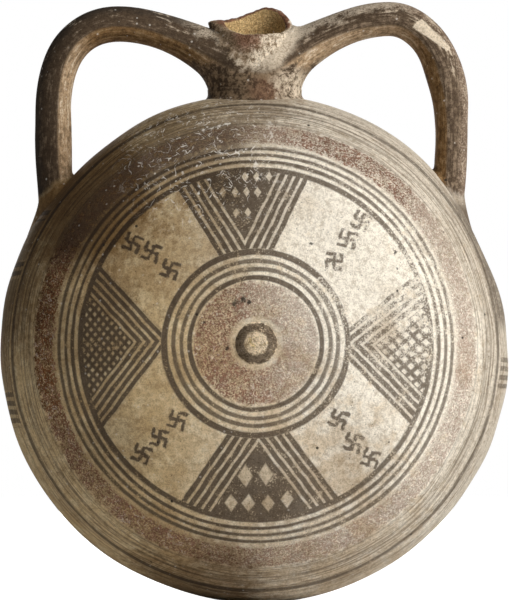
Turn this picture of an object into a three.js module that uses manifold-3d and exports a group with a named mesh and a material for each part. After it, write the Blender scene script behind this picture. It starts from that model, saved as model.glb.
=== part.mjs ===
// A pilgrim flask of painted earthenware, as the separate pieces of clay that a potter joins.
// Millimetres, +Z up, the decorated front towards -Y. The origin is the centre of the resting flat.
import * as THREE from "three";
import { mergeVertices } from "three/addons/utils/BufferGeometryUtils.js";
import Module from "manifold-3d";

const wasm = await Module();
wasm.setup();

// Body: two bowls thrown on the wheel about Y and luted rim to rim on the plane y = 0.
const BODY_RADIUS = 118.5;
const BODY_HALF_DEPTH = 73;
const BODY_WALL = 6.5;
const BODY_FULLNESS = 2.2; // exponent of the profile: 2 is an ellipse, more is squarer
const RESTING_FLAT_DEPTH = 1.2; // worn off the bottom of the curve

// Every luted joint keeps this gap for the slip that glues it.
const CLEARANCE = 0.3;

// Neck: a thrown tube set into a hole in the shoulder, with its lip broken lower at the front.
const NECK_FOOT_RADIUS = 21;
const NECK_LIP_RADIUS = 17;
const NECK_WALL = 3.3;
const NECK_HEIGHT = 35; // middle of the broken lip above the top of the body
const NECK_TUCK = 11; // foot of the tube below the top of the body
const LIP_BREAK_DROP = 8; // front of the break below its middle, and back above it
const LIP_BREAK_LEAN = 3; // right side of the break above its middle, and left side below it

// Collar: a coil of clay pressed round the foot of the neck.
const COLLAR_REACH = 6; // spread on the shoulder beyond the neck
const COLLAR_HEIGHT = 6; // above the top of the body
const COLLAR_TOP_EDGE = 1.6; // thickness of its upper edge
const COLLAR_FOOT_EDGE = 0.6; // thickness of its feathered foot

// Handles: pulled straps from the shoulder over a bend and down to the neck, pegged into the wall.
const STRAP_WIDTH = 21;
const STRAP_ROOT_SPREAD = 5; // added to the width at the shoulder
const STRAP_ROOT_SPREAD_LENGTH = 40;
const STRAP_NECK_SPREAD = 17; // added to the width where the strap wraps the neck
const STRAP_NECK_SWELL = 11; // added to the thickness there
const STRAP_NECK_SPREAD_LENGTH = 44;
const STRAP_FALL_DEGREES = 35; // slope at the neck
const STRAP_NECK_DEPTH = 9; // end of the strap from the axis of the neck, before it is cut
const PEG_RADIUS = 4.5;
const PEG_IN_STRAP = 3;

// Each handle springs from the body's outline at an angle from the top. Its crest and its landing on
// the neck are heights above the top of the body, and its bend has a reach inwards and a rise.
const LEFT_HANDLE = {
  side: -1,
  thickness: 16.5,
  rootDegrees: 53.1,
  crest: 32.8,
  bendReach: 31,
  bendRise: 42,
  landing: 12.5,
};
const RIGHT_HANDLE = {
  side: 1,
  thickness: 15.8,
  rootDegrees: 50.7,
  crest: 35.8,
  bendReach: 30.5,
  bendRise: 43,
  landing: 13.5,
};

// Root wads: lumps of clay smoothed into the outer corner below each handle.
const WAD_LENGTH = 36;
const WAD_WIDTH = 24;
const WAD_THICKNESS = 5;
const WAD_SINK = 0.8; // middle of the wad below the surface of the body

// Seam coil: a flattened coil pressed over the joint inside the body, open under the neck.
const COIL_WIDTH = 14;
const COIL_THICKNESS = 4;
const COIL_GAP_AT_NECK = 4;

// Front boss: a clay button with a stem, set in a socket at the middle of the front.
const BOSS_RADIUS = 9.8;
const BOSS_HEIGHT = 3;
const BOSS_STEM_RADIUS = 5.5;
const BOSS_STEM_LENGTH = 3;

// Steps of the round shapes.
const BODY_SEGMENTS = 60;
const BODY_RINGS = 11;
const NECK_SEGMENTS = 36;
const NECK_RINGS = 4;
const COLLAR_STEPS = 5;
const STRAP_STATIONS = 30;
const STRAP_SIDES = 14;
const PEG_SIDES = 14;
const WAD_SIDES = 16;
const WAD_RINGS = 10;
const COIL_SIDES = 8;
const BOSS_STEPS = 4;

// Colours of the fired clay.
const CREAM_SLIP = 0xcdbfa1;
const DARK_PAINT = 0x5a4c41;
const BARE_CLAY = 0xa98a63;

const centreHeight = BODY_RADIUS - RESTING_FLAT_DEPTH;
const bodyTop = centreHeight + BODY_RADIUS;
const lipHeight = bodyTop + NECK_HEIGHT;
const neckFoot = bodyTop - NECK_TUCK;

// Solids: closed meshes that can be joined and cut.
function solidOf(geometry) {
  const bare = geometry.clone();
  bare.deleteAttribute("normal");
  bare.deleteAttribute("uv");
  const merged = mergeVertices(bare);
  return new wasm.Manifold(
    new wasm.Mesh({
      numProp: 3,
      vertProperties: new Float32Array(merged.getAttribute("position").array),
      triVerts: new Uint32Array(merged.index.array),
    }),
  );
}

function geometryOf(solid) {
  const mesh = solid.getMesh();
  const geometry = new THREE.BufferGeometry();
  geometry.setAttribute("position", new THREE.BufferAttribute(mesh.vertProperties, 3));
  geometry.setIndex(new THREE.BufferAttribute(mesh.triVerts, 1));
  geometry.computeVertexNormals();
  return geometry;
}

// Evenly spaced shares from 0 to 1.
function shares(steps) {
  return Array.from({ length: steps + 1 }, (_, i) => i / steps);
}

// Profiles are lists of [radius, height along the axis], and run so that the faces point outwards.
function spunAboutY(profile, segments) {
  const points = profile.map(([radius, along]) => new THREE.Vector2(radius, along));
  return new THREE.LatheGeometry(points, segments);
}

function spunAboutZ(profile, segments) {
  return spunAboutY(profile, segments).rotateX(Math.PI / 2);
}

// A skin through rings of equal length, each a list of points that runs the same way round.
function skinFaces(spans, sides) {
  const faces = [];
  for (let i = 0; i < spans; i++) {
    for (let k = 0; k < sides; k++) {
      const a = i * sides + k;
      const b = i * sides + ((k + 1) % sides);
      faces.push(a, b, b + sides, a, b + sides, a + sides);
    }
  }
  return faces;
}

function meshFrom(points, faces) {
  const geometry = new THREE.BufferGeometry().setFromPoints(points);
  geometry.setIndex(faces);
  return geometry;
}

// A bar: its two end rings are closed with fans about their middles.
function loftedBar(rings) {
  const sides = rings[0].length;
  const last = rings.length - 1;
  const middles = [rings[0], rings[last]].map((ring) =>
    ring.reduce((sum, point) => sum.add(point), new THREE.Vector3()).divideScalar(sides),
  );
  const startMiddle = rings.length * sides;
  const faces = skinFaces(last, sides);
  for (let k = 0; k < sides; k++) {
    const next = (k + 1) % sides;
    faces.push(startMiddle, next, k);
    faces.push(startMiddle + 1, last * sides + k, last * sides + next);
  }
  return meshFrom([...rings.flat(), ...middles], faces);
}

// A hoop: its last ring is joined to its first.
function loftedHoop(rings) {
  const sides = rings[0].length;
  const count = rings.length * sides;
  const faces = skinFaces(rings.length, sides).map((index) => index % count);
  return meshFrom(rings.flat(), faces);
}

// The body is a superellipse of revolution: what is left of one half axis at a share of the other.
function fullness(share) {
  return (1 - share ** BODY_FULLNESS) ** (1 / BODY_FULLNESS);
}

// Radius of the body's outside at a depth from the seam.
function radiusAt(depth) {
  return BODY_RADIUS * fullness(Math.abs(depth) / BODY_HALF_DEPTH);
}

// Depth of the body's outside at a radius about a pole.
function depthAt(radius) {
  return BODY_HALF_DEPTH * fullness(radius / BODY_RADIUS);
}

// Profile from the back pole to the seam, on the body's outside or grown or shrunk from it.
function bowlProfile(grow) {
  const power = 2 / BODY_FULLNESS;
  return shares(BODY_RINGS).map((share) => {
    const angle = (Math.PI / 2) * share;
    const radius = (BODY_RADIUS + grow) * Math.sin(angle) ** power;
    const depth = (BODY_HALF_DEPTH + grow) * Math.cos(angle) ** power;
    return [radius, depth];
  });
}

function towardsFront(profile) {
  return profile.map(([radius, depth]) => [radius, -depth]);
}

function spunBody(profile) {
  return spunAboutY(profile, BODY_SEGMENTS).translate(0, 0, centreHeight);
}

// The whole body without its hollow, for cutting what sits on it.
function bodySolid(grow) {
  const back = bowlProfile(grow);
  return solidOf(spunBody([...towardsFront(back), ...back.slice(0, -1).reverse()]));
}

// A point at an angle from the top towards one side, in the plane of the seam.
function aroundSeam(side, degrees, radius) {
  const angle = THREE.MathUtils.degToRad(degrees);
  return new THREE.Vector3(side * radius * Math.sin(angle), 0, centreHeight + radius * Math.cos(angle));
}

// A round bar through the wall at the root of a handle, between two distances from the body's axis.
function pegSolid({ side, rootDegrees }, radius, from, to) {
  const peg = new THREE.CylinderGeometry(radius, radius, to - from, PEG_SIDES);
  peg.rotateX(Math.PI / 2).translate(0, 0, (from + to) / 2);
  peg.rotateY(side * THREE.MathUtils.degToRad(rootDegrees));
  return solidOf(peg.translate(0, 0, centreHeight));
}

function pegHole(handleSizes) {
  const radius = PEG_RADIUS + CLEARANCE;
  return pegSolid(handleSizes, radius, BODY_RADIUS - 2 * BODY_WALL, BODY_RADIUS + BODY_WALL);
}

// A bowl loses the ground under the resting flat, the neck's hole and the two peg holes.
function bowl(profile) {
  const span = 4 * BODY_RADIUS;
  const ground = new THREE.BoxGeometry(span, span, span).translate(0, 0, -span / 2);
  const holeRadius = NECK_FOOT_RADIUS + CLEARANCE;
  const hole = new THREE.CylinderGeometry(holeRadius, holeRadius, BODY_RADIUS, NECK_SEGMENTS);
  hole.rotateX(Math.PI / 2).translate(0, 0, bodyTop);
  const cut = solidOf(spunBody(profile))
    .subtract(solidOf(ground))
    .subtract(solidOf(hole))
    .subtract(pegHole(LEFT_HANDLE))
    .subtract(pegHole(RIGHT_HANDLE));
  return geometryOf(cut);
}

function frontBowl() {
  const socketRadius = BOSS_STEM_RADIUS + CLEARANCE;
  const floor = BODY_HALF_DEPTH - BOSS_STEM_LENGTH - CLEARANCE;
  const socket = [[0, floor], [socketRadius, floor], [socketRadius, depthAt(socketRadius)]];
  const outside = bowlProfile(0).filter(([radius]) => radius > socketRadius);
  const inside = bowlProfile(-BODY_WALL).reverse();
  return bowl(towardsFront([...socket, ...outside, ...inside]));
}

function backBowl() {
  return bowl([...bowlProfile(-BODY_WALL), ...bowlProfile(0).reverse()]);
}

function seamCoil() {
  const middle = BODY_RADIUS - BODY_WALL - CLEARANCE - COIL_THICKNESS / 2;
  const clear = NECK_FOOT_RADIUS + CLEARANCE + COIL_GAP_AT_NECK;
  const step = 360 / BODY_SEGMENTS;
  const first = Math.ceil(THREE.MathUtils.radToDeg(Math.asin(clear / middle)) / step);
  const rings = [];
  for (let i = first; i <= BODY_SEGMENTS - first; i++) {
    const ring = [];
    for (let k = 0; k < COIL_SIDES; k++) {
      const turn = (-2 * Math.PI * k) / COIL_SIDES;
      const point = aroundSeam(1, i * step, middle + (COIL_THICKNESS / 2) * Math.cos(turn));
      point.y = (COIL_WIDTH / 2) * Math.sin(turn);
      ring.push(point);
    }
    rings.push(ring);
  }
  return loftedBar(rings);
}

function frontBoss() {
  const rim = depthAt(BOSS_RADIUS) + CLEARANCE;
  const top = BODY_HALF_DEPTH + BOSS_HEIGHT;
  const dome = shares(BOSS_STEPS).map((share) => {
    const angle = (Math.PI / 2) * share;
    return [BOSS_RADIUS * Math.sin(angle), rim + (top - rim) * Math.cos(angle)];
  });
  const stemTop = depthAt(BOSS_STEM_RADIUS) + CLEARANCE;
  const stemEnd = BODY_HALF_DEPTH - BOSS_STEM_LENGTH;
  const stem = [[BOSS_STEM_RADIUS, stemTop], [BOSS_STEM_RADIUS, stemEnd], [0, stemEnd]];
  const profile = towardsFront([...dome, ...stem]);
  return spunAboutY(profile, NECK_SEGMENTS).translate(0, 0, centreHeight);
}

// Outside of the neck, as a straight taper from the top of the body to its lip.
function neckRadius(height) {
  const share = THREE.MathUtils.clamp((height - bodyTop) / NECK_HEIGHT, 0, 1);
  return THREE.MathUtils.lerp(NECK_FOOT_RADIUS, NECK_LIP_RADIUS, share);
}

function neckProfile(grow) {
  const heights = [neckFoot, ...shares(NECK_RINGS).map((share) => bodyTop + share * NECK_HEIGHT)];
  return heights.map((height) => [neckRadius(height) + grow, height]);
}

// Height of the broken lip: lowest at the front, highest at the back and to the right.
function lipAt(x, y) {
  const around = Math.atan2(x, -y);
  return lipHeight - LIP_BREAK_DROP * Math.cos(around) + LIP_BREAK_LEAN * Math.sin(around);
}

// Points of the neck slide along its taper until its upper edge is the broken lip.
function breakLip(geometry) {
  const position = geometry.getAttribute("position");
  for (let i = 0; i < position.count; i++) {
    const [x, y, z] = [position.getX(i), position.getY(i), position.getZ(i)];
    const share = Math.max(0, (z - bodyTop) / NECK_HEIGHT);
    const height = z + share * (lipAt(x, y) - lipHeight);
    const scale = 1 + (neckRadius(height) - neckRadius(z)) / Math.hypot(x, y);
    position.setXYZ(i, x * scale, y * scale, height);
  }
  return geometry;
}

function neck() {
  const outside = neckProfile(0);
  const inside = neckProfile(-NECK_WALL).reverse();
  return breakLip(spunAboutZ([...outside, ...inside, outside[0]], NECK_SEGMENTS));
}

// The neck with no bore, and well past its lip, for cutting what is pressed onto it.
function neckSolid(grow) {
  const pastLip = lipHeight + NECK_HEIGHT;
  const sides = [...neckProfile(grow), [NECK_LIP_RADIUS + grow, pastLip]];
  return solidOf(spunAboutZ([[0, neckFoot], ...sides, [0, pastLip]], NECK_SEGMENTS));
}

// Section of the collar on one side of the neck: out over the shoulder from the neck, and up a
// hollow curve to the upper edge.
function collarSection(angle, grow) {
  const at = (radius, height) =>
    new THREE.Vector3(radius * Math.sin(angle), -radius * Math.cos(angle), height);
  const seatHeight = (radius) => {
    const [across, depth] = [radius * Math.sin(angle), radius * Math.cos(angle)];
    return centreHeight + Math.sqrt(radiusAt(depth) ** 2 - across ** 2) + CLEARANCE;
  };
  const top = bodyTop + COLLAR_HEIGHT + grow;
  const bore = NECK_FOOT_RADIUS + CLEARANCE;
  const edge = neckRadius(top) + COLLAR_TOP_EDGE + grow;
  const foot = NECK_FOOT_RADIUS + COLLAR_REACH + grow;
  const footTop = seatHeight(foot) + COLLAR_FOOT_EDGE + grow;
  const curve = shares(COLLAR_STEPS).map((share) => {
    const turn = (Math.PI / 2) * share;
    return at(foot - (foot - edge) * Math.sin(turn), top - (top - footTop) * Math.cos(turn));
  });
  const seat = [at(bore, seatHeight(bore) - grow), at(foot, seatHeight(foot) - grow)];
  return [...seat, ...curve, at(neckRadius(top) + CLEARANCE, top)];
}

function neckCollar(grow) {
  const rings = [];
  for (let i = 0; i < NECK_SEGMENTS; i++) {
    rings.push(collarSection((-2 * Math.PI * i) / NECK_SEGMENTS, grow));
  }
  return loftedHoop(rings);
}

// The root of a handle's middle line, and the angle from the top where its outer face meets the body.
function rootOf({ side, thickness, rootDegrees }) {
  const root = aroundSeam(side, rootDegrees, BODY_RADIUS);
  const outerFace = Math.abs(root.x) + thickness / 2;
  const cornerDegrees = THREE.MathUtils.radToDeg(Math.asin(outerFace / BODY_RADIUS));
  return { root, cornerDegrees };
}

// Middle line of a handle: up from inside the wall, round a quarter bend, and down to the neck.
function handlePath(handleSizes) {
  const { side, crest, bendReach, bendRise, landing } = handleSizes;
  const { root, cornerDegrees } = rootOf(handleSizes);
  const at = (x, z) => new THREE.Vector3(x, 0, z);
  const buried = at(root.x, aroundSeam(side, cornerDegrees, BODY_RADIUS).z - BODY_WALL);
  const peak = at(root.x - side * bendReach, bodyTop + crest);
  const spring = at(root.x, peak.z - bendRise);
  const end = at(side * STRAP_NECK_DEPTH, bodyTop + landing);
  const quarter = (4 / 3) * Math.tan(Math.PI / 8); // pull that makes a cubic curve a quarter ellipse
  const bendStart = at(spring.x, spring.z + quarter * bendRise);
  const bendEnd = at(peak.x + side * quarter * bendReach, peak.z);
  const fall = THREE.MathUtils.degToRad(STRAP_FALL_DEGREES);
  const pull = Math.abs(peak.x - end.x) / 3;
  const fallStart = at(peak.x - side * pull, peak.z);
  const fallEnd = at(end.x + side * pull * Math.cos(fall), end.z + pull * Math.sin(fall));
  const path = new THREE.CurvePath();
  path.add(new THREE.LineCurve3(buried, spring));
  path.add(new THREE.CubicBezierCurve3(spring, bendStart, bendEnd, peak));
  path.add(new THREE.CubicBezierCurve3(peak, fallStart, fallEnd, end));
  return path;
}

// A swell that is 1 at an end of the strap and dies out over a length.
function swell(distance, length) {
  return Math.max(0, 1 - distance / length) ** 2;
}

// The strap before its ends are cut, of oval section, thicker and wider towards its ends.
function strapSolid(handleSizes, grow) {
  const path = handlePath(handleSizes);
  const length = path.getLength();
  const rings = shares(STRAP_STATIONS).map((share) => {
    const middle = path.getPointAt(share);
    const along = path.getTangentAt(share);
    const outward = new THREE.Vector3(along.z, 0, -along.x).multiplyScalar(handleSizes.side);
    const atRoot = swell(share * length, STRAP_ROOT_SPREAD_LENGTH);
    const atNeck = swell((1 - share) * length, STRAP_NECK_SPREAD_LENGTH);
    const thickness = handleSizes.thickness + STRAP_NECK_SWELL * atNeck;
    const width = STRAP_WIDTH + STRAP_ROOT_SPREAD * atRoot + STRAP_NECK_SPREAD * atNeck;
    return Array.from({ length: STRAP_SIDES }, (_, k) => {
      const turn = (handleSizes.side * 2 * Math.PI * k) / STRAP_SIDES;
      const point = middle.clone().addScaledVector(outward, (thickness / 2 + grow) * Math.cos(turn));
      point.y = (width / 2 + grow) * Math.sin(turn);
      return point;
    });
  });
  return solidOf(loftedBar(rings));
}

// A handle is cut to the body, the neck and the collar, and keeps a peg in the body's wall.
function handle(handleSizes) {
  const pegEnd = BODY_RADIUS - BODY_WALL + CLEARANCE;
  const strap = strapSolid(handleSizes, 0)
    .subtract(bodySolid(CLEARANCE))
    .subtract(neckSolid(CLEARANCE))
    .subtract(solidOf(neckCollar(CLEARANCE)));
  return geometryOf(strap.add(pegSolid(handleSizes, PEG_RADIUS, pegEnd, BODY_RADIUS + PEG_IN_STRAP)));
}

// A wad lies along the outline where the outer face of the strap meets it.
function rootWad(handleSizes) {
  const { cornerDegrees } = rootOf(handleSizes);
  const middle = aroundSeam(handleSizes.side, cornerDegrees, BODY_RADIUS - WAD_SINK);
  const lump = new THREE.SphereGeometry(1, WAD_SIDES, WAD_RINGS);
  lump.scale(WAD_THICKNESS / 2, WAD_WIDTH / 2, WAD_LENGTH / 2);
  lump.rotateY(handleSizes.side * THREE.MathUtils.degToRad(cornerDegrees - 90));
  lump.translate(middle.x, middle.y, middle.z);
  const cut = solidOf(lump).subtract(bodySolid(CLEARANCE)).subtract(strapSolid(handleSizes, CLEARANCE));
  return geometryOf(cut);
}

const flask = new THREE.Group();

function addPiece(name, geometry, color, roughness) {
  const material = new THREE.MeshStandardMaterial({ color, roughness, metalness: 0 });
  const mesh = new THREE.Mesh(geometry, material);
  mesh.name = name;
  flask.add(mesh);
}

addPiece("front_bowl", frontBowl(), CREAM_SLIP, 0.8);
addPiece("back_bowl", backBowl(), CREAM_SLIP, 0.8);
addPiece("seam_coil", seamCoil(), BARE_CLAY, 0.9);
addPiece("front_boss", frontBoss(), DARK_PAINT, 0.8);
addPiece("neck", neck(), CREAM_SLIP, 0.85);
addPiece("neck_collar", neckCollar(0), DARK_PAINT, 0.8);
addPiece("left_handle", handle(LEFT_HANDLE), DARK_PAINT, 0.75);
addPiece("right_handle", handle(RIGHT_HANDLE), DARK_PAINT, 0.75);
addPiece("left_root_wad", rootWad(LEFT_HANDLE), DARK_PAINT, 0.8);
addPiece("right_root_wad", rootWad(RIGHT_HANDLE), DARK_PAINT, 0.8);

export default flask;
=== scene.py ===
import math

import bmesh
import bpy
import numpy as np
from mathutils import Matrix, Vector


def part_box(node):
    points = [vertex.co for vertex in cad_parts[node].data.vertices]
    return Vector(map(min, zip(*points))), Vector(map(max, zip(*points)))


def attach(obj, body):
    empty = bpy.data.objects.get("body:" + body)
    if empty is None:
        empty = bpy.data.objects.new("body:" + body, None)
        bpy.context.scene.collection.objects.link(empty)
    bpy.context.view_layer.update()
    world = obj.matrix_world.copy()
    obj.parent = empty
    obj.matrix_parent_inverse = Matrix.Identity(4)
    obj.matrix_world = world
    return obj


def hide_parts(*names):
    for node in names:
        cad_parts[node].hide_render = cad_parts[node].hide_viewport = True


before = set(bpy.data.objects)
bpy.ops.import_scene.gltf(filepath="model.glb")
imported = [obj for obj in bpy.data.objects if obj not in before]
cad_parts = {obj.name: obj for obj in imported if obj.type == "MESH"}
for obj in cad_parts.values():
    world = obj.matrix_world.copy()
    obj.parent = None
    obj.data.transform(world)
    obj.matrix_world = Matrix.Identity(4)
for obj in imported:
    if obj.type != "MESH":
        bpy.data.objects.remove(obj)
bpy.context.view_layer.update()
MM = 0.001

# Front and back bowls: the body, two half lenses thrown on the wheel in buff earthenware and luted rim to
# rim. Both are covered in a matt cream slip and painted in dark brown and thin red. The neck stands in a
# hole cut through the two rims, and the lowest point is rubbed flat.
BODY_LOW, BODY_HIGH = (np.array(corner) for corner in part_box("front_bowl"))
BODY_RADIUS = (BODY_HIGH[0] - BODY_LOW[0]) / 2
BODY_HALF_DEPTH = -BODY_LOW[1]
BODY_WALL = 6.5 * MM
BODY_FULLNESS = 2.2
RESTING_FLAT_DEPTH = 1.2 * MM
CENTRE_HEIGHT = BODY_RADIUS - RESTING_FLAT_DEPTH
BODY_TOP = CENTRE_HEIGHT + BODY_RADIUS
NECK_HOLE_RADIUS = 21.3 * MM
BOWL_SEGMENTS = 288
BOWL_RINGS = 160
BOWL_OUTSIDE_RINGS = 116
NECK_HOLE_SIDES = 96
POLE_MERGE = 0.01 * MM


class Wire:
    """One value in a node tree. A sum written with wires becomes Math nodes in the same tree."""

    def __init__(self, socket):
        self.socket = socket

    def math(self, operation, *others):
        node = self.socket.id_data.nodes.new("ShaderNodeMath")
        node.operation = operation
        for slot, value in zip(node.inputs, (self, *others)):
            feed(slot, value)
        return Wire(node.outputs[0])

    def __add__(self, other):
        return self.math("ADD", other)

    def __radd__(self, other):
        return self.math("ADD", other)

    def __sub__(self, other):
        return self.math("SUBTRACT", other)

    def __rsub__(self, other):
        return (self * -1) + other

    def __mul__(self, other):
        return self.math("MULTIPLY", other)

    def __rmul__(self, other):
        return self.math("MULTIPLY", other)

    def __truediv__(self, other):
        return self.math("DIVIDE", other)

    def __rtruediv__(self, other):
        return (self ** -1.0) * other

    def __pow__(self, other):
        return self.math("POWER", other)

    def __neg__(self):
        return self * -1

    def __abs__(self):
        return self.math("ABSOLUTE")


def feed(slot, value):
    """Gives an input of a node a wire, a colour or a plain value."""
    if isinstance(value, Wire):
        slot.id_data.links.new(value.socket, slot)
    elif slot.type == "RGBA":
        slot.default_value = (*value, 1)
    else:
        slot.default_value = value


def add_node(tree, kind, inputs=None, **settings):
    """A new node in a tree, with its settings made and its inputs fed."""
    node = tree.nodes.new(kind)
    for name, value in settings.items():
        setattr(node, name, value)
    for name, value in (inputs or {}).items():
        feed(node.inputs[name], value)
    return node


def shape_tree(name, sizes):
    """A geometry tree with one input for each size, and the wires of those inputs."""
    tree = bpy.data.node_groups.new(name, "GeometryNodeTree")
    kinds = {float: "NodeSocketFloat", int: "NodeSocketInt", bpy.types.Object: "NodeSocketObject"}
    tree.interface.new_socket("Geometry", in_out="INPUT", socket_type="NodeSocketGeometry")
    for size, kind in sizes.items():
        tree.interface.new_socket(size, in_out="INPUT", socket_type=kinds[kind])
    tree.interface.new_socket("Material", in_out="INPUT", socket_type="NodeSocketMaterial")
    tree.interface.new_socket("Geometry", in_out="OUTPUT", socket_type="NodeSocketGeometry")
    given = tree.nodes.new("NodeGroupInput")
    return tree, {socket.name: Wire(socket) for socket in given.outputs if socket.name}


def end_tree(tree, shape, material):
    """Ends a geometry tree with a real mesh that wears its material."""
    realized = add_node(tree, "GeometryNodeRealizeInstances", {"Geometry": shape})
    inputs = {"Geometry": Wire(realized.outputs[0]), "Material": material}
    painted = add_node(tree, "GeometryNodeSetMaterial", inputs)
    out = tree.nodes.new("NodeGroupOutput")
    feed(out.inputs["Geometry"], Wire(painted.outputs[0]))


def grid_shares(tree, across, along):
    """A grid of faces, and the shares from 0 to 1 of its points across and along it."""
    inputs = {"Vertices X": across, "Vertices Y": along, "Size X": 1.0, "Size Y": 1.0}
    grid = add_node(tree, "GeometryNodeMeshGrid", inputs)
    place = tree.nodes.new("GeometryNodeInputPosition")
    split = add_node(tree, "ShaderNodeSeparateXYZ", {"Vector": Wire(place.outputs[0])})
    return Wire(grid.outputs["Mesh"]), Wire(split.outputs["X"]) + 0.5, Wire(split.outputs["Y"]) + 0.5


def moved_to(tree, shape, x, y, z):
    """A shape with each of its points put at a place."""
    spot = add_node(tree, "ShaderNodeCombineXYZ", {"X": x, "Y": y, "Z": z})
    moved = add_node(tree, "GeometryNodeSetPosition", {"Geometry": shape, "Position": Wire(spot.outputs[0])})
    return Wire(moved.outputs[0])


def thrown_bowl_tree():
    """Half a lens with a wall, turned about the middle of its face, flat below and cut for the neck."""
    lengths = ("Radius", "Half Depth", "Wall", "Fullness", "Facing", "Centre Height", "Neck Hole Radius")
    counts = ("Segments", "Rings", "Hole Sides")
    sizes = {name: float for name in lengths} | {name: int for name in counts}
    tree, size = shape_tree("thrown_bowl", sizes)
    grid, around, share = grid_shares(tree, size["Segments"] + 1, size["Rings"] + 1)
    turn = around * math.tau
    ring = share * BOWL_RINGS
    inside = ring.math("GREATER_THAN", BOWL_OUTSIDE_RINGS + 0.5)
    out_swing = (ring / BOWL_OUTSIDE_RINGS).math("MINIMUM", 1.0)
    in_swing = ((BOWL_RINGS - ring) / (BOWL_RINGS - BOWL_OUTSIDE_RINGS - 1)).math("MINIMUM", 1.0)
    swing = (out_swing + (in_swing - out_swing) * inside) * (math.pi / 2)
    wall = size["Wall"] * inside
    power = 2.0 / size["Fullness"]
    radius = (size["Radius"] - wall) * swing.math("SINE").math("MAXIMUM", 0.0) ** power
    depth = (size["Half Depth"] - wall) * swing.math("COSINE").math("MAXIMUM", 0.0) ** power
    height = size["Centre Height"] + radius * turn.math("COSINE")
    x, y = radius * turn.math("SINE"), depth * size["Facing"]
    lens = moved_to(tree, grid, x, y, height.math("MAXIMUM", 0.0))
    merged = add_node(tree, "GeometryNodeMergeByDistance", {"Geometry": lens, "Distance": POLE_MERGE})
    hole = add_node(tree, "GeometryNodeMeshCylinder", {"Vertices": size["Hole Sides"], "Depth": BODY_RADIUS})
    feed(hole.inputs["Radius"], size["Neck Hole Radius"])
    lifted = add_node(tree, "GeometryNodeTransform", {"Geometry": Wire(hole.outputs["Mesh"])})
    lifted.inputs["Translation"].default_value = (0, 0, BODY_TOP)
    cut = add_node(tree, "GeometryNodeMeshBoolean", operation="DIFFERENCE", solver="EXACT")
    feed(cut.inputs["Mesh 1"], Wire(merged.outputs[0]))
    feed(cut.inputs["Mesh 2"], Wire(lifted.outputs[0]))
    end_tree(tree, Wire(cut.outputs["Mesh"]), size["Material"])
    return tree


def grown(name, tree, sizes):
    """The plain mesh that a geometry tree makes from its sizes."""
    holder = bpy.data.objects.new(name, bpy.data.meshes.new(name))
    bpy.context.scene.collection.objects.link(holder)
    modifier = holder.modifiers.new("shape", "NODES")
    modifier.node_group = tree
    for socket in tree.interface.items_tree:
        if socket.in_out == "INPUT" and socket.name in sizes:
            modifier[socket.identifier] = sizes[socket.name]
    evaluated = holder.evaluated_get(bpy.context.evaluated_depsgraph_get())
    mesh = bpy.data.meshes.new_from_object(evaluated)
    bpy.data.objects.remove(holder)
    return mesh


# Drying: the upper right shoulder sank a little, and no curve is quite true. Each slump has a depth, a
# direction round the body and a spread. The resting flat stays true.
SLUMPS = (
    (3.0 * MM, math.radians(25), math.radians(17)),
    (1.7 * MM, math.radians(137), math.radians(14)),
    (0.8 * MM, math.radians(-112), math.radians(14)),
)
SLUMP_FADE = 24 * MM
HAND_WOBBLE = 0.28 * MM
HAND_WAVES = ((61, 83, 0.4), (97, 54, 2.1), (71, 112, 4.0))
WOBBLE_RISE = 20 * MM
DOUBLES = 0.002 * MM


def settle(points):
    """Where points of the true shape end up after drying, the same for every piece."""
    x, y, z = points.T
    up = z - CENTRE_HEIGHT
    rho = np.hypot(x, up)
    angle = np.arctan2(up, x)
    reach = np.clip(rho / BODY_RADIUS, 0, 1) ** 3
    fade = np.clip(1 - (rho - BODY_RADIUS) / SLUMP_FADE, 0, 1)
    sink = np.zeros_like(rho)
    for depth, middle, span in SLUMPS:
        sink += depth * np.exp(-(((angle - middle) / span) ** 2)) * reach * fade
    moved = points.copy()
    moved[:, 0] -= sink * np.cos(angle)
    moved[:, 2] -= sink * np.sin(angle)
    lift = np.clip(z / WOBBLE_RISE, 0, 1)
    for first, second, phase in HAND_WAVES:
        wave = np.sin(first * x + second * z + phase) * np.cos(second * y + first * z - phase)
        moved[:, 0] += HAND_WOBBLE * wave * lift
        moved[:, 1] += HAND_WOBBLE * np.cos(first * z + second * x + phase) * lift
    return moved


def finish_piece(name, mesh, material, node, sharp_degrees=50):
    """A closed piece that stands for a node: settled, smooth but for its edges, and facing outwards."""
    points = np.empty(len(mesh.vertices) * 3)
    mesh.vertices.foreach_get("co", points)
    mesh.vertices.foreach_set("co", settle(points.reshape(-1, 3)).ravel())
    work = bmesh.new()
    work.from_mesh(mesh)
    bmesh.ops.remove_doubles(work, verts=work.verts, dist=DOUBLES)
    bmesh.ops.recalc_face_normals(work, faces=work.faces)
    work.to_mesh(mesh)
    work.free()
    mesh.shade_smooth()
    mesh.set_sharp_from_angle(angle=math.radians(sharp_degrees))
    mesh.materials.clear()
    mesh.materials.append(material)
    piece = bpy.data.objects.new(name, mesh)
    bpy.context.scene.collection.objects.link(piece)
    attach(piece, "root")
    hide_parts(node)
    return piece


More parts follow.
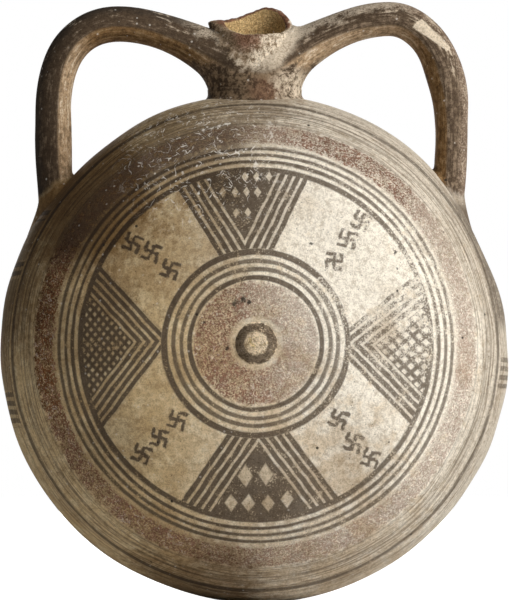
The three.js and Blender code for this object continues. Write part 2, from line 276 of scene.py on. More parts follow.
# Slip and paint of the bowls: a cream slip, then rings turned on the wheel in dark brown, four wedge panels,
# rows of hooked crosses, and two bands of thin red. Burial and use wore the paint and left pits, grit and
# lime.
# Brown stains and painted shade darken and yellow the left side. All sizes of the paint are in millimetres
# about the middle of the face.
CREAM = (0.72, 0.62, 0.48)
PALE_CREAM = (0.84, 0.775, 0.66)
TAWNY = (0.45, 0.32, 0.18)
YELLOWED_AND_SHADED_TINT = (0.82, 0.71, 0.50)
DARK_BROWN = (0.10, 0.071, 0.046)
STREAK_BROWN = (0.19, 0.135, 0.08)
SMEAR_BROWN = (0.17, 0.13, 0.10)
RED_WASH = (0.20, 0.098, 0.06)
MAROON = (0.135, 0.048, 0.014)
# The tint of brown stains and of painted shade on the left side.
STAIN_AND_SHADE_TINT = (0.25, 0.17, 0.08)
WORN_DARK = (0.42, 0.36, 0.29)
WORN_LIGHT = (1.5, 1.5, 1.5)
PIT_BLACK = (0.025, 0.018, 0.012)
LIME_WHITE = (0.80, 0.75, 0.67)
BRUSH_EDGE = 0.4
# A pair of distances is where a change of the surface starts and where it is full.
UPPER_RIGHT = (-10.0, 50.0)
# The left side is yellowed partly by stains and partly as painted shade.
YELLOWED_AND_SHADED_SIDE = (30.0, -50.0)
SHOULDER_STAIN = {"ring": (82.0, 98.0), "up": (-30.0, 60.0), "strength": 0.3}
LOWER_RIGHT_STAIN = {"ring": (99.0, 106.0), "across": (10.0, 60.0), "up": (-120.0, -40.0), "strength": 0.34}
# Each patch has its place across and up, its reach and its strength. Most lie on the left side, where they
# are partly brown stains and partly painted shade; some darken the bottom.
STAINS_AND_SHADE = (
    (-78.0, 70.0, 58.0, 0.90),
    (-30.0, 90.0, 42.0, 0.62),
    (-125.0, 30.0, 50.0, 0.70),
    (-40.0, 48.0, 46.0, 0.35),
    (-28.0, -124.0, 52.0, 0.75),
    (-6.0, -130.0, 32.0, 0.85),
    (-2.0, 114.0, 32.0, 0.60),
    (106.0, 52.0, 36.0, 0.42),
    (-76.0, 8.0, 32.0, 0.35),
    (-66.0, 26.0, 24.0, 0.55),
    (-66.0, -46.0, 24.0, 0.32),
    (0.0, 64.0, 26.0, 0.32),
    (46.0, -54.0, 30.0, 0.20),
    (-42.0, -106.0, 24.0, 0.60),
)
# Each speck has its place across and up, and its reach.
SPECKS = (
    (-9.0, 18.1, 2.4),
    (-5.6, 19.9, 1.7),
    (-3.0, 18.5, 1.1),
    (-22.6, 9.3, 1.3),
    (-12.6, -2.2, 1.0),
    (62.6, 41.6, 1.1),
    (64.0, 33.6, 0.8),
    (24.8, 44.7, 0.9),
)
# Each ring has its radius, its width and how dark it is.
RINGS = (
    (29.5, 2.1, 1.0),
    (33.3, 1.7, 0.9),
    (36.8, 2.0, 0.9),
    (41.0, 2.8, 1.0),
    (78.9, 2.5, 1.0),
    (82.6, 1.6, 1.0),
    (85.8, 1.5, 0.95),
    (88.9, 1.6, 0.95),
    (101.2, 0.6, 0.5),
    (105.6, 0.7, 0.55),
    (107.4, 0.6, 0.5),
    (111.4, 1.5, 0.9),
)
MEDALLION = (11.8, 27.6)
RED_BAND = (91.4, 100.4)
PANEL_ZONE = (42.2, 78.2)
WEDGES = {
    "top": {"apex": (-3.6, 19.1), "axis": 92.9, "half_angle": 28.6, "first": 2.3, "pitch": 3.35},
    "bottom": {"apex": (0.6, -21.2), "axis": -88.6, "half_angle": 35.9, "first": 2.6, "pitch": 3.4},
    "left": {"apex": (-38.5, 1.3), "axis": 182.5, "half_angle": 50.1, "first": 2.8, "pitch": 3.0},
    "right": {"apex": (34.2, 0.4), "axis": -3.2, "half_angle": 41.9, "first": 2.0, "pitch": 3.4},
}
# Each lattice has its first row's distance from the sides, its pitch and the width of its squares.
LATTICES = {"left": (14.0, 2.9, 1.35), "right": (13.8, 4.1, 2.3)}
# Each row of lozenges has their width and height, and their middles.
LOZENGES = {
    "top": (
        ((3.1, 4.4), ((-4.8, 75.6), (0.3, 75.6), (6.0, 75.6))),
        ((3.1, 4.8), ((-14.9, 68.4), (-9.3, 68.4), (-4.1, 68.4), (0.8, 68.4))),
        ((3.0, 4.4), ((-8.9, 58.9), (-3.5, 58.9))),
    ),
    "bottom": (
        ((6.4, 9.6), ((-4.6, -59.1), (4.5, -58.2))),
        ((5.8, 7.7), ((-11.1, -71.2), (-3.2, -71.2), (5.5, -71.2), (14.0, -69.4))),
        ((3.6, 7.0), ((-16.8, -68.3),)),
    ),
}
CROSS_REACH = 3.5
CROSS_STROKE = 1.6
CROSS_SHAKE = 2.2
CROSS_SHAKES_PER_MM = 0.42
LINE_SHAKE = 1.0
LINE_SHAKES_PER_MM = 0.13
# Each cross has its middle, its turn in degrees and the hand that its hooks point to.
CROSSES = (
    ((-55.3, 45.6), 28, 1),
    ((-46.8, 41.0), 24, 1),
    ((-38.3, 33.2), 20, 1),
    ((47.6, 55.5), 24, 1),
    ((41.1, 47.1), 16, 1),
    ((35.0, 37.0), 4, -1),
    ((-35.1, -34.1), 18, 1),
    ((-43.1, -42.1), 14, 1),
    ((-51.2, -49.3), 24, 1),
    ((36.9, -33.7), 24, 1),
    ((43.8, -44.2), 22, 1),
    ((51.5, -51.4), 22, 1),
)
LIMED_SHOULDER = {"middle": (-24.0, 88.0), "reach": 48.0, "full_within": 19.2}
RUBBED_SPOT = {"middle": (58.0, 24.0), "reach": 44.0, "full_within": 14.0}
HEAVY_RED = {"middle": (-96.0, 10.0), "reach": 58.0, "full_within": 30.0}
UPPER_RED = {"middle": (48.0, 82.0), "reach": 44.0, "full_within": 12.0}
MEDALLION_FADE = (25.0, -24.0)
BAND_FADE = (70.0, -60.0)
SIDE_BARS = {
    "pitch": 4.0,
    "half_width": (1.4, 0.9),
    "rings": (112.8, 113.4),
    "across": (88.0, 92.0),
    "left_groups": ((-37.0, -20.0), (31.0, 40.0), (58.0, 64.0)),
    "right_group": (-19.0, -4.0),
}
SMEAR = {"rings": (87.0, 104.0), "across": (12.0, -16.0), "up": (30.0, 52.0), "strength": 0.75}
SIDE_SHADOW = {"up": (10.0, 68.0), "rings": (109.5, 112.5), "across": (86.0, 92.0)}
LEFT_EDGE_WASH = {"up": (-34.0, 60.0), "strength": 0.4}
STREAKED_RINGS = (99.5, 103.0)
STREAK_TURN = 3.0
STREAK_LEAN = 0.6
CLEANER_RIM = (113.0, 117.0)
PAINT_WEAR = (-30.0, 70.0)
TRACE = {
    "turns": (0.2, 1.1, 2.5),
    "curl": 16.0,
    "curls_per_mm": 0.14,
    "along": 0.14,
    "aside": 0.95,
    "deep": 0.2,
}


def effect_group(name, inputs, outputs):
    """A shader group that takes numbers: the group, and the wires of its inputs."""
    group = bpy.data.node_groups.new(name, "ShaderNodeTree")
    for socket in inputs:
        group.interface.new_socket(socket, in_out="INPUT", socket_type="NodeSocketFloat")
    for socket, kind in outputs.items():
        group.interface.new_socket(socket, in_out="OUTPUT", socket_type="NodeSocket" + kind)
    given = group.nodes.new("NodeGroupInput")
    return group, {socket.name: Wire(socket) for socket in given.outputs if socket.name}


def end_group(group, results):
    """Ends a shader group with its named results."""
    out = group.nodes.new("NodeGroupOutput")
    for name, value in results.items():
        feed(out.inputs[name], value)
    return group


def used(tree, group, inputs=None):
    """The wires that come out of a group placed in a tree."""
    node = add_node(tree, "ShaderNodeGroup", inputs, node_tree=group)
    return {socket.name: Wire(socket) for socket in node.outputs}


def rising(value, low, high):
    """0 where a value is at low and 1 where it is at high, eased between. Low may be the greater."""
    eased = add_node(value.socket.id_data, "ShaderNodeMapRange", interpolation_type="SMOOTHSTEP")
    for name, number in (("Value", value), ("From Min", low), ("From Max", high)):
        feed(eased.inputs[name], number)
    return Wire(eased.outputs["Result"])


def within(value, low, high, edge=BRUSH_EDGE):
    """1 between two values and 0 outside them, with soft edges."""
    return rising(value, low - edge, low + edge) * rising(value, high + edge, high - edge)


def stroke(value, middle, width):
    """A painted line of a width about a middle, with the soft edge of a brush."""
    return rising(abs(value - middle), width / 2 + BRUSH_EDGE, width / 2 - BRUSH_EDGE)


def most(wires):
    """The greatest of some wires."""
    total = wires[0]
    for wire in wires[1:]:
        total = total.math("MAXIMUM", wire)
    return total


def away_from(across, up, middle):
    """The distance of a place on the face from a middle."""
    return ((across - middle[0]) ** 2.0 + (up - middle[1]) ** 2.0).math("SQRT")


def about(across, up, spot):
    """1 at a spot on the face and 0 beyond its reach."""
    return rising(away_from(across, up, spot["middle"]), spot["reach"], spot["full_within"])


def over(tree, share, under, top, way="MIX"):
    """A colour with another laid over it by a share."""
    mix = add_node(tree, "ShaderNodeMix", data_type="RGBA", blend_type=way)
    for slot, value in ((mix.inputs[0], share), (mix.inputs[6], under), (mix.inputs[7], top)):
        feed(slot, value)
    return Wire(mix.outputs[2])


def noise(tree, place, per_mm, detail, roughness=0.5):
    """A cloudy pattern from 0 to 1, with so many clouds to a millimetre."""
    inputs = {"Vector": place, "Scale": per_mm, "Detail": detail, "Roughness": roughness}
    return Wire(add_node(tree, "ShaderNodeTexNoise", inputs).outputs[0])


def spots(tree, place, per_mm, radius):
    """Scattered round spots of up to a radius."""
    cells = add_node(tree, "ShaderNodeTexVoronoi", {"Vector": place, "Scale": per_mm})
    return rising(Wire(cells.outputs["Distance"]) / per_mm, radius, radius * 0.6)


def shaken(tree, place, per_mm, across, up, reach):
    """Two distances as an unsteady hand follows them."""
    wander = add_node(tree, "ShaderNodeTexNoise", {"Vector": place, "Scale": per_mm, "Detail": 2.0})
    apart = add_node(tree, "ShaderNodeSeparateColor", {"Color": Wire(wander.outputs["Color"])})
    aside, above = Wire(apart.outputs["Red"]) - 0.5, Wire(apart.outputs["Green"]) - 0.5
    return across + aside * reach, up + above * reach


def traced(tree, place, turn):
    """Thin curled traces that lie about one way over the face, as roots leave them."""
    split = add_node(tree, "ShaderNodeSeparateXYZ", {"Vector": place})
    straight = Wire(split.outputs["X"]), Wire(split.outputs["Z"])
    across, up = shaken(tree, place, TRACE["curls_per_mm"], *straight, TRACE["curl"])
    along = across * math.cos(turn) + up * math.sin(turn)
    aside = up * math.cos(turn) - across * math.sin(turn)
    deep = Wire(split.outputs["Y"]) * TRACE["deep"]
    drawn = {"X": along * TRACE["along"], "Y": aside * TRACE["aside"], "Z": deep}
    drawn_place = Wire(add_node(tree, "ShaderNodeCombineXYZ", drawn).outputs[0])
    return rising(noise(tree, drawn_place, 0.9, 1.5), 0.63, 0.73)


def place_group():
    """Where a point of the flask is: across and up from the middle of the face, and its ring round it."""
    outputs = {"Place": "Vector", "Ring Place": "Vector", "Across": "Float", "Up": "Float", "Ring": "Float"}
    group, _ = effect_group("place_on_flask", (), outputs | {"Front": "Float"})
    spot = add_node(group, "ShaderNodeTexCoord")
    in_mm = add_node(group, "ShaderNodeVectorMath", {"Scale": 1 / MM}, operation="SCALE")
    feed(in_mm.inputs[0], Wire(spot.outputs["Object"]))
    place = Wire(in_mm.outputs[0])
    split = add_node(group, "ShaderNodeSeparateXYZ", {"Vector": place})
    across, up = Wire(split.outputs["X"]), Wire(split.outputs["Z"]) - CENTRE_HEIGHT / MM
    ring = (across * across + up * up).math("SQRT").math("MAXIMUM", 0.5)
    from_edge = ring + Wire(split.outputs["Y"]) * STREAK_LEAN
    turned = {"X": from_edge, "Y": across / ring * STREAK_TURN, "Z": up / ring * STREAK_TURN}
    swept = add_node(group, "ShaderNodeCombineXYZ", turned)
    results = {"Place": place, "Ring Place": Wire(swept.outputs[0]), "Across": across, "Up": up, "Ring": ring}
    return end_group(group, results | {"Front": rising(Wire(split.outputs["Y"]), 1.0, -1.0)})


def age_group():
    """What use and burial did to the surface, the same for every piece."""
    kinds = ("Grain", "Dust", "Mottle", "Cloud", "Pits", "Grit", "Flecks", "Traces", "Patina", "Height")
    group, _ = effect_group("age", (), {kind: "Float" for kind in kinds})
    place = used(group, on_flask)["Place"]
    grain = noise(group, place, 1.1, 2.0, 0.7)
    dust = noise(group, place, 1.7, 1.0)
    mottle = noise(group, place, 0.16, 4.0, 0.62)
    patina = noise(group, place, 0.4, 4.0, 0.68)
    pits = spots(group, place, 0.075, 0.8)
    flecks = spots(group, place, 0.24, 0.62) * rising(mottle, 0.44, 0.56)
    traces = most([traced(group, place, turn) for turn in TRACE["turns"]])
    results = {
        "Grain": grain,
        "Dust": dust,
        "Mottle": mottle,
        "Patina": patina,
        "Cloud": noise(group, place, 0.036, 2.0),
        "Pits": pits,
        "Grit": spots(group, place, 0.31, 0.36),
        "Flecks": flecks,
        "Traces": traces * rising(patina, 0.42, 0.52),
        "Height": grain * 0.25 + patina * 0.5 + mottle * 0.7 - pits * 0.8,
    }
    return end_group(group, results)


def slip_group():
    """The cream slip as it looks today, and how far brown stains and painted shade darken what is on it."""
    group, _ = effect_group("cream_slip", (), {"Colour": "Color", "Stain And Shade": "Float"})
    place, age = used(group, on_flask), used(group, aged)
    across, up, ring = place["Across"], place["Up"], place["Ring"]
    upper_right = rising(across * 0.8 + up * 0.6, *UPPER_RIGHT)
    colour = over(group, rising(age["Mottle"] + upper_right * 0.2, 0.44, 0.64), CREAM, PALE_CREAM)
    colour = over(group, rising(age["Cloud"] - upper_right * 0.1, 0.44, 0.70) * 0.5, colour, TAWNY)
    colour = over(group, rising(age["Patina"], 0.46, 0.34) * 0.2, colour, TAWNY)
    # Painted shade: the left side is tinted yellow, partly by stains and partly as the warm colour of its
    # shade.
    colour = over(group, rising(across, *YELLOWED_AND_SHADED_SIDE), colour, YELLOWED_AND_SHADED_TINT, "MULTIPLY")
    ragged = (age["Cloud"] - 0.5) * 45.0 + (age["Mottle"] - 0.5) * 22.0 + (age["Patina"] - 0.5) * 16.0
    shoulder, lower_right = SHOULDER_STAIN, LOWER_RIGHT_STAIN
    at_lower_right = rising(across, *lower_right["across"]) * rising(up, *lower_right["up"])
    patches = [
        rising(ring, *shoulder["ring"]) * rising(up, *shoulder["up"]) * shoulder["strength"],
        rising(ring, *lower_right["ring"]) * at_lower_right * lower_right["strength"],
    ]
    # Brown stains, most of them on the left side, where they partly stand for painted shade.
    for *middle, reach, strength in STAINS_AND_SHADE:
        away = away_from(across, up, middle) + ragged
        patches.append(rising(away, reach, reach * 0.35) * strength)
    return end_group(group, {"Colour": colour, "Stain And Shade": most(patches)})


def wedge_group():
    """A wedge panel: its outline, the pale lines along its sides, its inner field and the ways across it."""
    inputs = ("Across", "Up", "Apex Across", "Apex Up", "Axis", "Half Angle", "First Line", "Line Pitch")
    outputs = {name: "Float" for name in ("Inside", "Lines", "Field", "From One Side", "From Other Side")}
    group, given = effect_group("wedge_panel", inputs, outputs)
    across, up = given["Across"] - given["Apex Across"], given["Up"] - given["Apex Up"]
    cosine, sine = given["Axis"].math("COSINE"), given["Axis"].math("SINE")
    out, aside = across * cosine + up * sine, up * cosine - across * sine
    lean, rise = given["Half Angle"].math("COSINE"), given["Half Angle"].math("SINE")
    one, other = out * rise - aside * lean, out * rise + aside * lean
    depth, pitch = one.math("MINIMUM", other), given["Line Pitch"]
    field_edge = given["First Line"] + pitch * 3.0 + 1.1
    to_line = abs((depth - given["First Line"] + pitch / 2.0).math("FLOORED_MODULO", pitch) - pitch / 2.0)
    results = {
        "Inside": rising(depth, -0.9, -0.2),
        "Lines": rising(to_line, 0.85, 0.3) * rising(depth, field_edge + 0.2, field_edge - 0.2),
        "Field": rising(depth, field_edge - 0.2, field_edge + 0.2),
        "From One Side": one,
        "From Other Side": other,
    }
    return end_group(group, results)


def lattice_group():
    """Rows of small pale squares, set by the distances from the two sides of a wedge."""
    inputs = ("From One Side", "From Other Side", "First", "Pitch", "Width")
    group, given = effect_group("lattice", inputs, {"Pale": "Float"})
    pale, half = [], given["Pitch"] / 2.0
    for side in inputs[:2]:
        to_row = abs((given[side] - given["First"] + half).math("FLOORED_MODULO", given["Pitch"]) - half)
        pale.append(rising(to_row, given["Width"] / 2.0 + BRUSH_EDGE, given["Width"] / 2.0 - BRUSH_EDGE))
    return end_group(group, {"Pale": pale[0] * pale[1]})


def lozenge_group():
    """One pale lozenge left in a dark field."""
    inputs = ("Across", "Up", "Middle Across", "Middle Up", "Width", "Height")
    group, given = effect_group("lozenge", inputs, {"Pale": "Float"})
    aside = abs(given["Across"] - given["Middle Across"]) / given["Width"]
    above = abs(given["Up"] - given["Middle Up"]) / given["Height"]
    return end_group(group, {"Pale": rising(aside + above, 0.6, 0.42)})


def cross_group():
    """A hooked cross drawn with single strokes of the brush, turned by an angle and hooked to one hand."""
    inputs = ("Across", "Up", "Middle Across", "Middle Up", "Turn", "Hand")
    group, given = effect_group("hooked_cross", inputs, {"Dark": "Float"})
    across, up = given["Across"] - given["Middle Across"], given["Up"] - given["Middle Up"]
    cosine, sine = given["Turn"].math("COSINE"), given["Turn"].math("SINE")
    a, b = across * cosine - up * sine, up * cosine + across * sine
    strokes = []
    for along, aside, hand in ((a, b, given["Hand"] * -1.0), (b, a, given["Hand"])):
        arm = stroke(aside, 0.0, CROSS_STROKE) * rising(abs(along), CROSS_REACH + 0.4, CROSS_REACH)
        towards = aside * along.math("SIGN") * hand
        hook = stroke(abs(along), CROSS_REACH - 0.2, CROSS_STROKE) * within(towards, 0.0, CROSS_REACH + 0.4)
        strokes += [arm, hook]
    return end_group(group, {"Dark": most(strokes)})


def side_shadow(across, up, ring, patina):
    """The dark blotches that run down the right edge from the foot of the handle."""
    lengthwise = within(up, *SIDE_SHADOW["up"], 5.0) * rising(across, *SIDE_SHADOW["across"])
    smeared = ring + (patina - 0.5) * 16.0
    edgewise = rising(smeared, *SIDE_SHADOW["rings"])
    return lengthwise * edgewise * (rising(patina, 0.36, 0.50) * 0.6 + 0.25)


def wedge_paint(group, here, ring):
    """The dark of the four wedge panels, less their pale lines, squares and lozenges."""
    dark = []
    panel_zone = within(ring, *PANEL_ZONE)
    for name, wedge in WEDGES.items():
        outline = {
            "Apex Across": wedge["apex"][0],
            "Apex Up": wedge["apex"][1],
            "Axis": math.radians(wedge["axis"]),
            "Half Angle": math.radians(wedge["half_angle"]),
            "First Line": wedge["first"],
            "Line Pitch": wedge["pitch"],
        }
        panel = used(group, wedge_panel, here | outline)
        pale = []
        for (width, height), middles in LOZENGES.get(name, ()):
            for middle in middles:
                size = {"Middle Across": middle[0], "Middle Up": middle[1], "Width": width, "Height": height}
                pale.append(used(group, lozenge, here | size)["Pale"])
        if name in LATTICES:
            first, pitch, width = LATTICES[name]
            rows = {side: panel[side] for side in ("From One Side", "From Other Side")}
            pale.append(used(group, lattice, rows | {"First": first, "Pitch": pitch, "Width": width})["Pale"])
        left_dark = (1.0 - panel["Lines"] * 0.8) * (1.0 - panel["Field"] * most(pale) * 0.85)
        dark.append(panel["Inside"] * panel_zone * left_dark)
    return dark


def cross_paint(group, place, across, up):
    """The rows of hooked crosses in the open panels of the front."""
    cross_across, cross_up = shaken(group, place["Place"], CROSS_SHAKES_PER_MM, across, up, CROSS_SHAKE)
    dark = []
    for middle, turn, hand in CROSSES:
        inputs = {
            "Across": cross_across,
            "Up": cross_up,
            "Middle Across": middle[0],
            "Middle Up": middle[1],
            "Turn": math.radians(turn),
            "Hand": float(hand),
        }
        dark.append(used(group, hooked_cross, inputs)["Dark"] * place["Front"])
    return dark


def edge_paint(across, up, ring, patina):
    """Short bars over the two side edges, a thin wash at the left and blotches at the right."""
    to_bar = abs(up.math("FLOORED_MODULO", SIDE_BARS["pitch"]) - SIDE_BARS["pitch"] / 2)
    barred = most([within(up, low, high) for low, high in SIDE_BARS["left_groups"]])
    edge = rising(ring, *SIDE_BARS["rings"])
    left_edge = rising(-across, *SIDE_BARS["across"]) * edge
    right_bars = rising(across, *SIDE_BARS["across"]) * edge * within(up, *SIDE_BARS["right_group"])
    bars = (left_edge * barred + right_bars) * rising(to_bar, *SIDE_BARS["half_width"]) * 0.8
    wash = within(up, *LEFT_EDGE_WASH["up"], 4.0) * LEFT_EDGE_WASH["strength"]
    return [bars, left_edge * wash * (1.0 - barred), side_shadow(across, up, ring, patina)]


def paint_group():
    """All the paint of one face: dark lines, thin red, brush streaks, and where hands rubbed it away."""
    masks = ("Dark", "Red", "Heavy", "Smear", "Specks", "Streaks", "Rubbed")
    group, _ = effect_group("painted_face", (), {mask: "Float" for mask in masks})
    place, patina = used(group, on_flask), used(group, aged)["Patina"]
    across, up = shaken(group, place["Place"], LINE_SHAKES_PER_MM, place["Across"], place["Up"], LINE_SHAKE)
    waver = noise(group, place["Ring Place"], 0.5, 1.0)
    ring = place["Ring"] + (waver - 0.5) * 1.3 + (across - place["Across"]) * 0.5
    dark = [stroke(ring, radius, width) * strength for radius, width, strength in RINGS]
    dark += wedge_paint(group, {"Across": across, "Up": up}, ring)
    dark += cross_paint(group, place, across, up)
    dark += edge_paint(across, up, ring, patina)
    heavy = about(across, up, HEAVY_RED)
    medallion_cover = rising(up * 0.2 + across * 0.9, *MEDALLION_FADE) * 0.34 + 0.38
    band_cover = rising(across, *BAND_FADE) * 0.22 + heavy * 0.7 + about(across, up, UPPER_RED) * 0.28 + 0.42
    frayed = ring + (patina - 0.5) * 5.0
    medallion, band = within(frayed, *MEDALLION, 1.0), within(frayed, *RED_BAND, 0.7)
    specks = []
    for *middle, reach in SPECKS:
        away = away_from(across, up, middle) + (patina - 0.5) * 6.0
        specks.append(rising(away, reach, reach * 0.3))
    smear = within(frayed, *SMEAR["rings"], 4.0) * rising(across, *SMEAR["across"]) * rising(up, *SMEAR["up"])
    results = {
        "Dark": most(dark),
        "Red": medallion * medallion_cover + band * band_cover,
        "Heavy": heavy,
        "Smear": smear * rising(patina, 0.36, 0.52) * SMEAR["strength"],
        "Specks": most(specks) * place["Front"],
        "Streaks": noise(group, place["Ring Place"], 1.15, 3.0, 0.7),
        "Rubbed": about(across, up, RUBBED_SPOT),
    }
    return end_group(group, results)


on_flask = place_group()
aged = age_group()
cream_slip = slip_group()
wedge_panel = wedge_group()
lattice = lattice_group()
lozenge = lozenge_group()
hooked_cross = cross_group()
painted_face = paint_group()


def matt_material(name):
    """A material for dry fired clay: its tree and its shader."""
    material = bpy.data.materials.new(name)
    material.use_nodes = True
    shader = material.node_tree.nodes["Principled BSDF"]
    shader.inputs["Roughness"].default_value = 0.86
    shader.inputs["Specular IOR Level"].default_value = 0.25
    return material, material.node_tree, shader


def roughen(tree, shader, height):
    """A fine roughness of the surface."""
    bump = add_node(tree, "ShaderNodeBump", {"Height": height, "Strength": 0.55, "Distance": 0.5 * MM})
    feed(shader.inputs["Normal"], Wire(bump.outputs[0]))


def with_dirt_and_shade(tree, colour, age, worn, stain_and_shade, lime):
    """A painted colour worn lighter and darker by a share, with grit, brown stains and painted shade, pits
    and lime.
    """
    rough = age["Patina"] * 0.4 + age["Grain"] * 0.3 + age["Dust"] * 0.3
    colour = over(tree, rising(rough, 0.495, 0.44) * worn, colour, WORN_DARK, "MULTIPLY")
    colour = over(tree, rising(rough, 0.505, 0.56) * worn, colour, WORN_LIGHT, "MULTIPLY")
    colour = over(tree, age["Grit"] * 0.6, colour, PIT_BLACK)
    colour = over(tree, stain_and_shade, colour, STAIN_AND_SHADE_TINT, "MULTIPLY")
    colour = over(tree, age["Pits"] * 0.9, colour, PIT_BLACK)
    return over(tree, lime, colour, LIME_WHITE)


def painted_colour(tree, place, age, slip, paint):
    """The slip with its wheel streaks, thin red, smears, specks and dark lines, before any dirt."""
    rub = age["Grain"] * 0.55 + age["Mottle"] * 0.45
    at_right = rising(place["Across"], *PAINT_WEAR)
    turned = rising(paint["Streaks"], 0.45, 0.62) * rising(place["Ring"], *STREAKED_RINGS)
    turned = turned * (1.0 - rising(place["Ring"], *CLEANER_RIM) * 0.5)
    colour = over(tree, turned * (0.78 - at_right * 0.1), slip["Colour"], STREAK_BROWN)
    flaking = age["Grain"] * 0.6 + age["Patina"] * 0.2 + age["Mottle"] * 0.2
    thick = rising(flaking, 0.44, 0.545) * 1.5 + 0.06
    red = over(tree, paint["Heavy"] * rising(age["Mottle"], 0.38, 0.52), RED_WASH, MAROON)
    colour = over(tree, (paint["Red"] * thick).math("MINIMUM", 0.97), colour, red)
    colour = over(tree, age["Traces"] * rising(paint["Red"], 0.1, 0.3) * 0.32, colour, PALE_CREAM)
    colour = over(tree, paint["Smear"], colour, SMEAR_BROWN)
    colour = over(tree, paint["Specks"] * 0.85, colour, PIT_BLACK)
    left_on = rising(rub - at_right * 0.03 - paint["Rubbed"] * 0.09, 0.30, 0.46)
    return over(tree, paint["Dark"] * left_on * (0.96 - at_right * 0.1), colour, DARK_BROWN)


def painted_slip_material():
    """The painted slip of the bowls, dirtied, with lime on the left shoulder."""
    material, tree, shader = matt_material("painted_slip")
    place, age = used(tree, on_flask), used(tree, aged)
    slip, paint = used(tree, cream_slip), used(tree, painted_face)
    colour = painted_colour(tree, place, age, slip, paint)
    limed = about(place["Across"], place["Up"], LIMED_SHOULDER)
    lime = (limed * age["Traces"] * 0.85).math("MAXIMUM", age["Flecks"] * (limed * 0.5 + 0.3))
    worn = paint["Red"] * 0.5 + 0.34
    feed(shader.inputs["Base Color"], with_dirt_and_shade(tree, colour, age, worn, slip["Stain And Shade"], lime))
    roughen(tree, shader, age["Height"])
    return material


painted_slip = painted_slip_material()
bowl_tree = thrown_bowl_tree()
bowl_sizes = {
    "Radius": BODY_RADIUS,
    "Half Depth": BODY_HALF_DEPTH,
    "Wall": BODY_WALL,
    "Fullness": BODY_FULLNESS,
    "Centre Height": CENTRE_HEIGHT,
    "Neck Hole Radius": NECK_HOLE_RADIUS,
    "Segments": BOWL_SEGMENTS,
    "Rings": BOWL_RINGS,
    "Hole Sides": NECK_HOLE_SIDES,
    "Material": painted_slip,
}
for bowl_name, facing in (("front_bowl", -1.0), ("back_bowl", 1.0)):
    bowl_mesh = grown(bowl_name, bowl_tree, bowl_sizes | {"Facing": facing})
    finish_piece("slipped_" + bowl_name, bowl_mesh, painted_slip, bowl_name)


# Neck: a thrown tube of the same clay, set into the hole in the shoulder. Its lip is broken away, lowest at
# the front. A lug of the old lip stands at the right, and a stub flares out over the strap at the left.
NECK_FOOT_RADIUS = 21 * MM
NECK_LIP_RADIUS = 17 * MM
NECK_WALL = 3.3 * MM
NECK_HEIGHT = 35 * MM
NECK_TUCK = 11 * MM
LIP_BREAK_DROP = 7.4 * MM
LIP_LUG_RISE = 2.8 * MM
LIP_LEFT_RISE = 1.2 * MM
LIP_LEFT_FLARE = 5.4 * MM
LIP_LEFT_SPAN = 0.42
LIP_BACK_RISE = 0.4 * MM
LIP_HEIGHT = BODY_TOP + NECK_HEIGHT - 1.0 * MM
LIP_PRESS = 0.5 * MM
LIP_PRESS_BLEND = 2 * MM
NECK_TURNS = 180
NECK_RISE_STEPS = 44
LIP_STEPS = 6


def neck_radius(height):
    """The outer radius of the neck at a height."""
    share = np.clip((height - BODY_TOP) / NECK_HEIGHT, 0, 1)
    return NECK_FOOT_RADIUS + (NECK_LIP_RADIUS - NECK_FOOT_RADIUS) * share


def at_left(turn):
    """How near a turn is to the left, where a stub of the old lip flares out over the strap."""
    return np.exp(-(((turn - 1.5 * math.pi) / LIP_LEFT_SPAN) ** 2))


def lip_height(turn):
    """Height of the broken lip. A turn of 0 is the front, and a quarter turn is the right."""
    behind = (1 - np.cos(turn)) / 2
    slope = -LIP_BREAK_DROP * np.cos(turn) - LIP_LUG_RISE * np.sin(2 * turn) * behind
    return LIP_HEIGHT + slope + LIP_BACK_RISE * behind**2 + LIP_LEFT_RISE * at_left(turn)


def chips(turn):
    """Small rises and dips of the broken edge."""
    waves = 0.17 * np.sin(5 * turn + 0.6) + 0.12 * np.sin(11 * turn + 2.0)
    return (waves + 0.09 * np.sin(23 * turn) + 0.06 * np.sin(37 * turn + 1.0)) * MM


def ring_mesh(name, rings, first_middle=None, last_middle=None):
    """A skin through rings of points. Without middles, the last ring joins the first."""
    count, sides = rings.shape[:2]
    points = list(rings.reshape(-1, 3))
    looped = first_middle is None
    faces = []
    for i in range(count if looped else count - 1):
        for k in range(sides):
            a, b = i * sides + k, i * sides + (k + 1) % sides
            above = ((i + 1) % count - i) * sides
            faces.append((a, b, b + above, a + above))
    if not looped:
        points += [first_middle, last_middle]
        last = (count - 1) * sides
        for k in range(sides):
            turn = (k + 1) % sides
            faces.append((count * sides, turn, k))
            faces.append((count * sides + 1, last + k, last + turn))
    mesh = bpy.data.meshes.new(name)
    mesh.from_pydata([tuple(point) for point in points], [], faces)
    return mesh


def keep_share(mesh, name, shares):
    """Keeps a share with each point of a skin, for paint that follows the piece."""
    rest = np.zeros(len(mesh.vertices) - shares.size)
    mesh.attributes.new(name, "FLOAT", "POINT").data.foreach_set("value", np.append(shares.ravel(), rest))


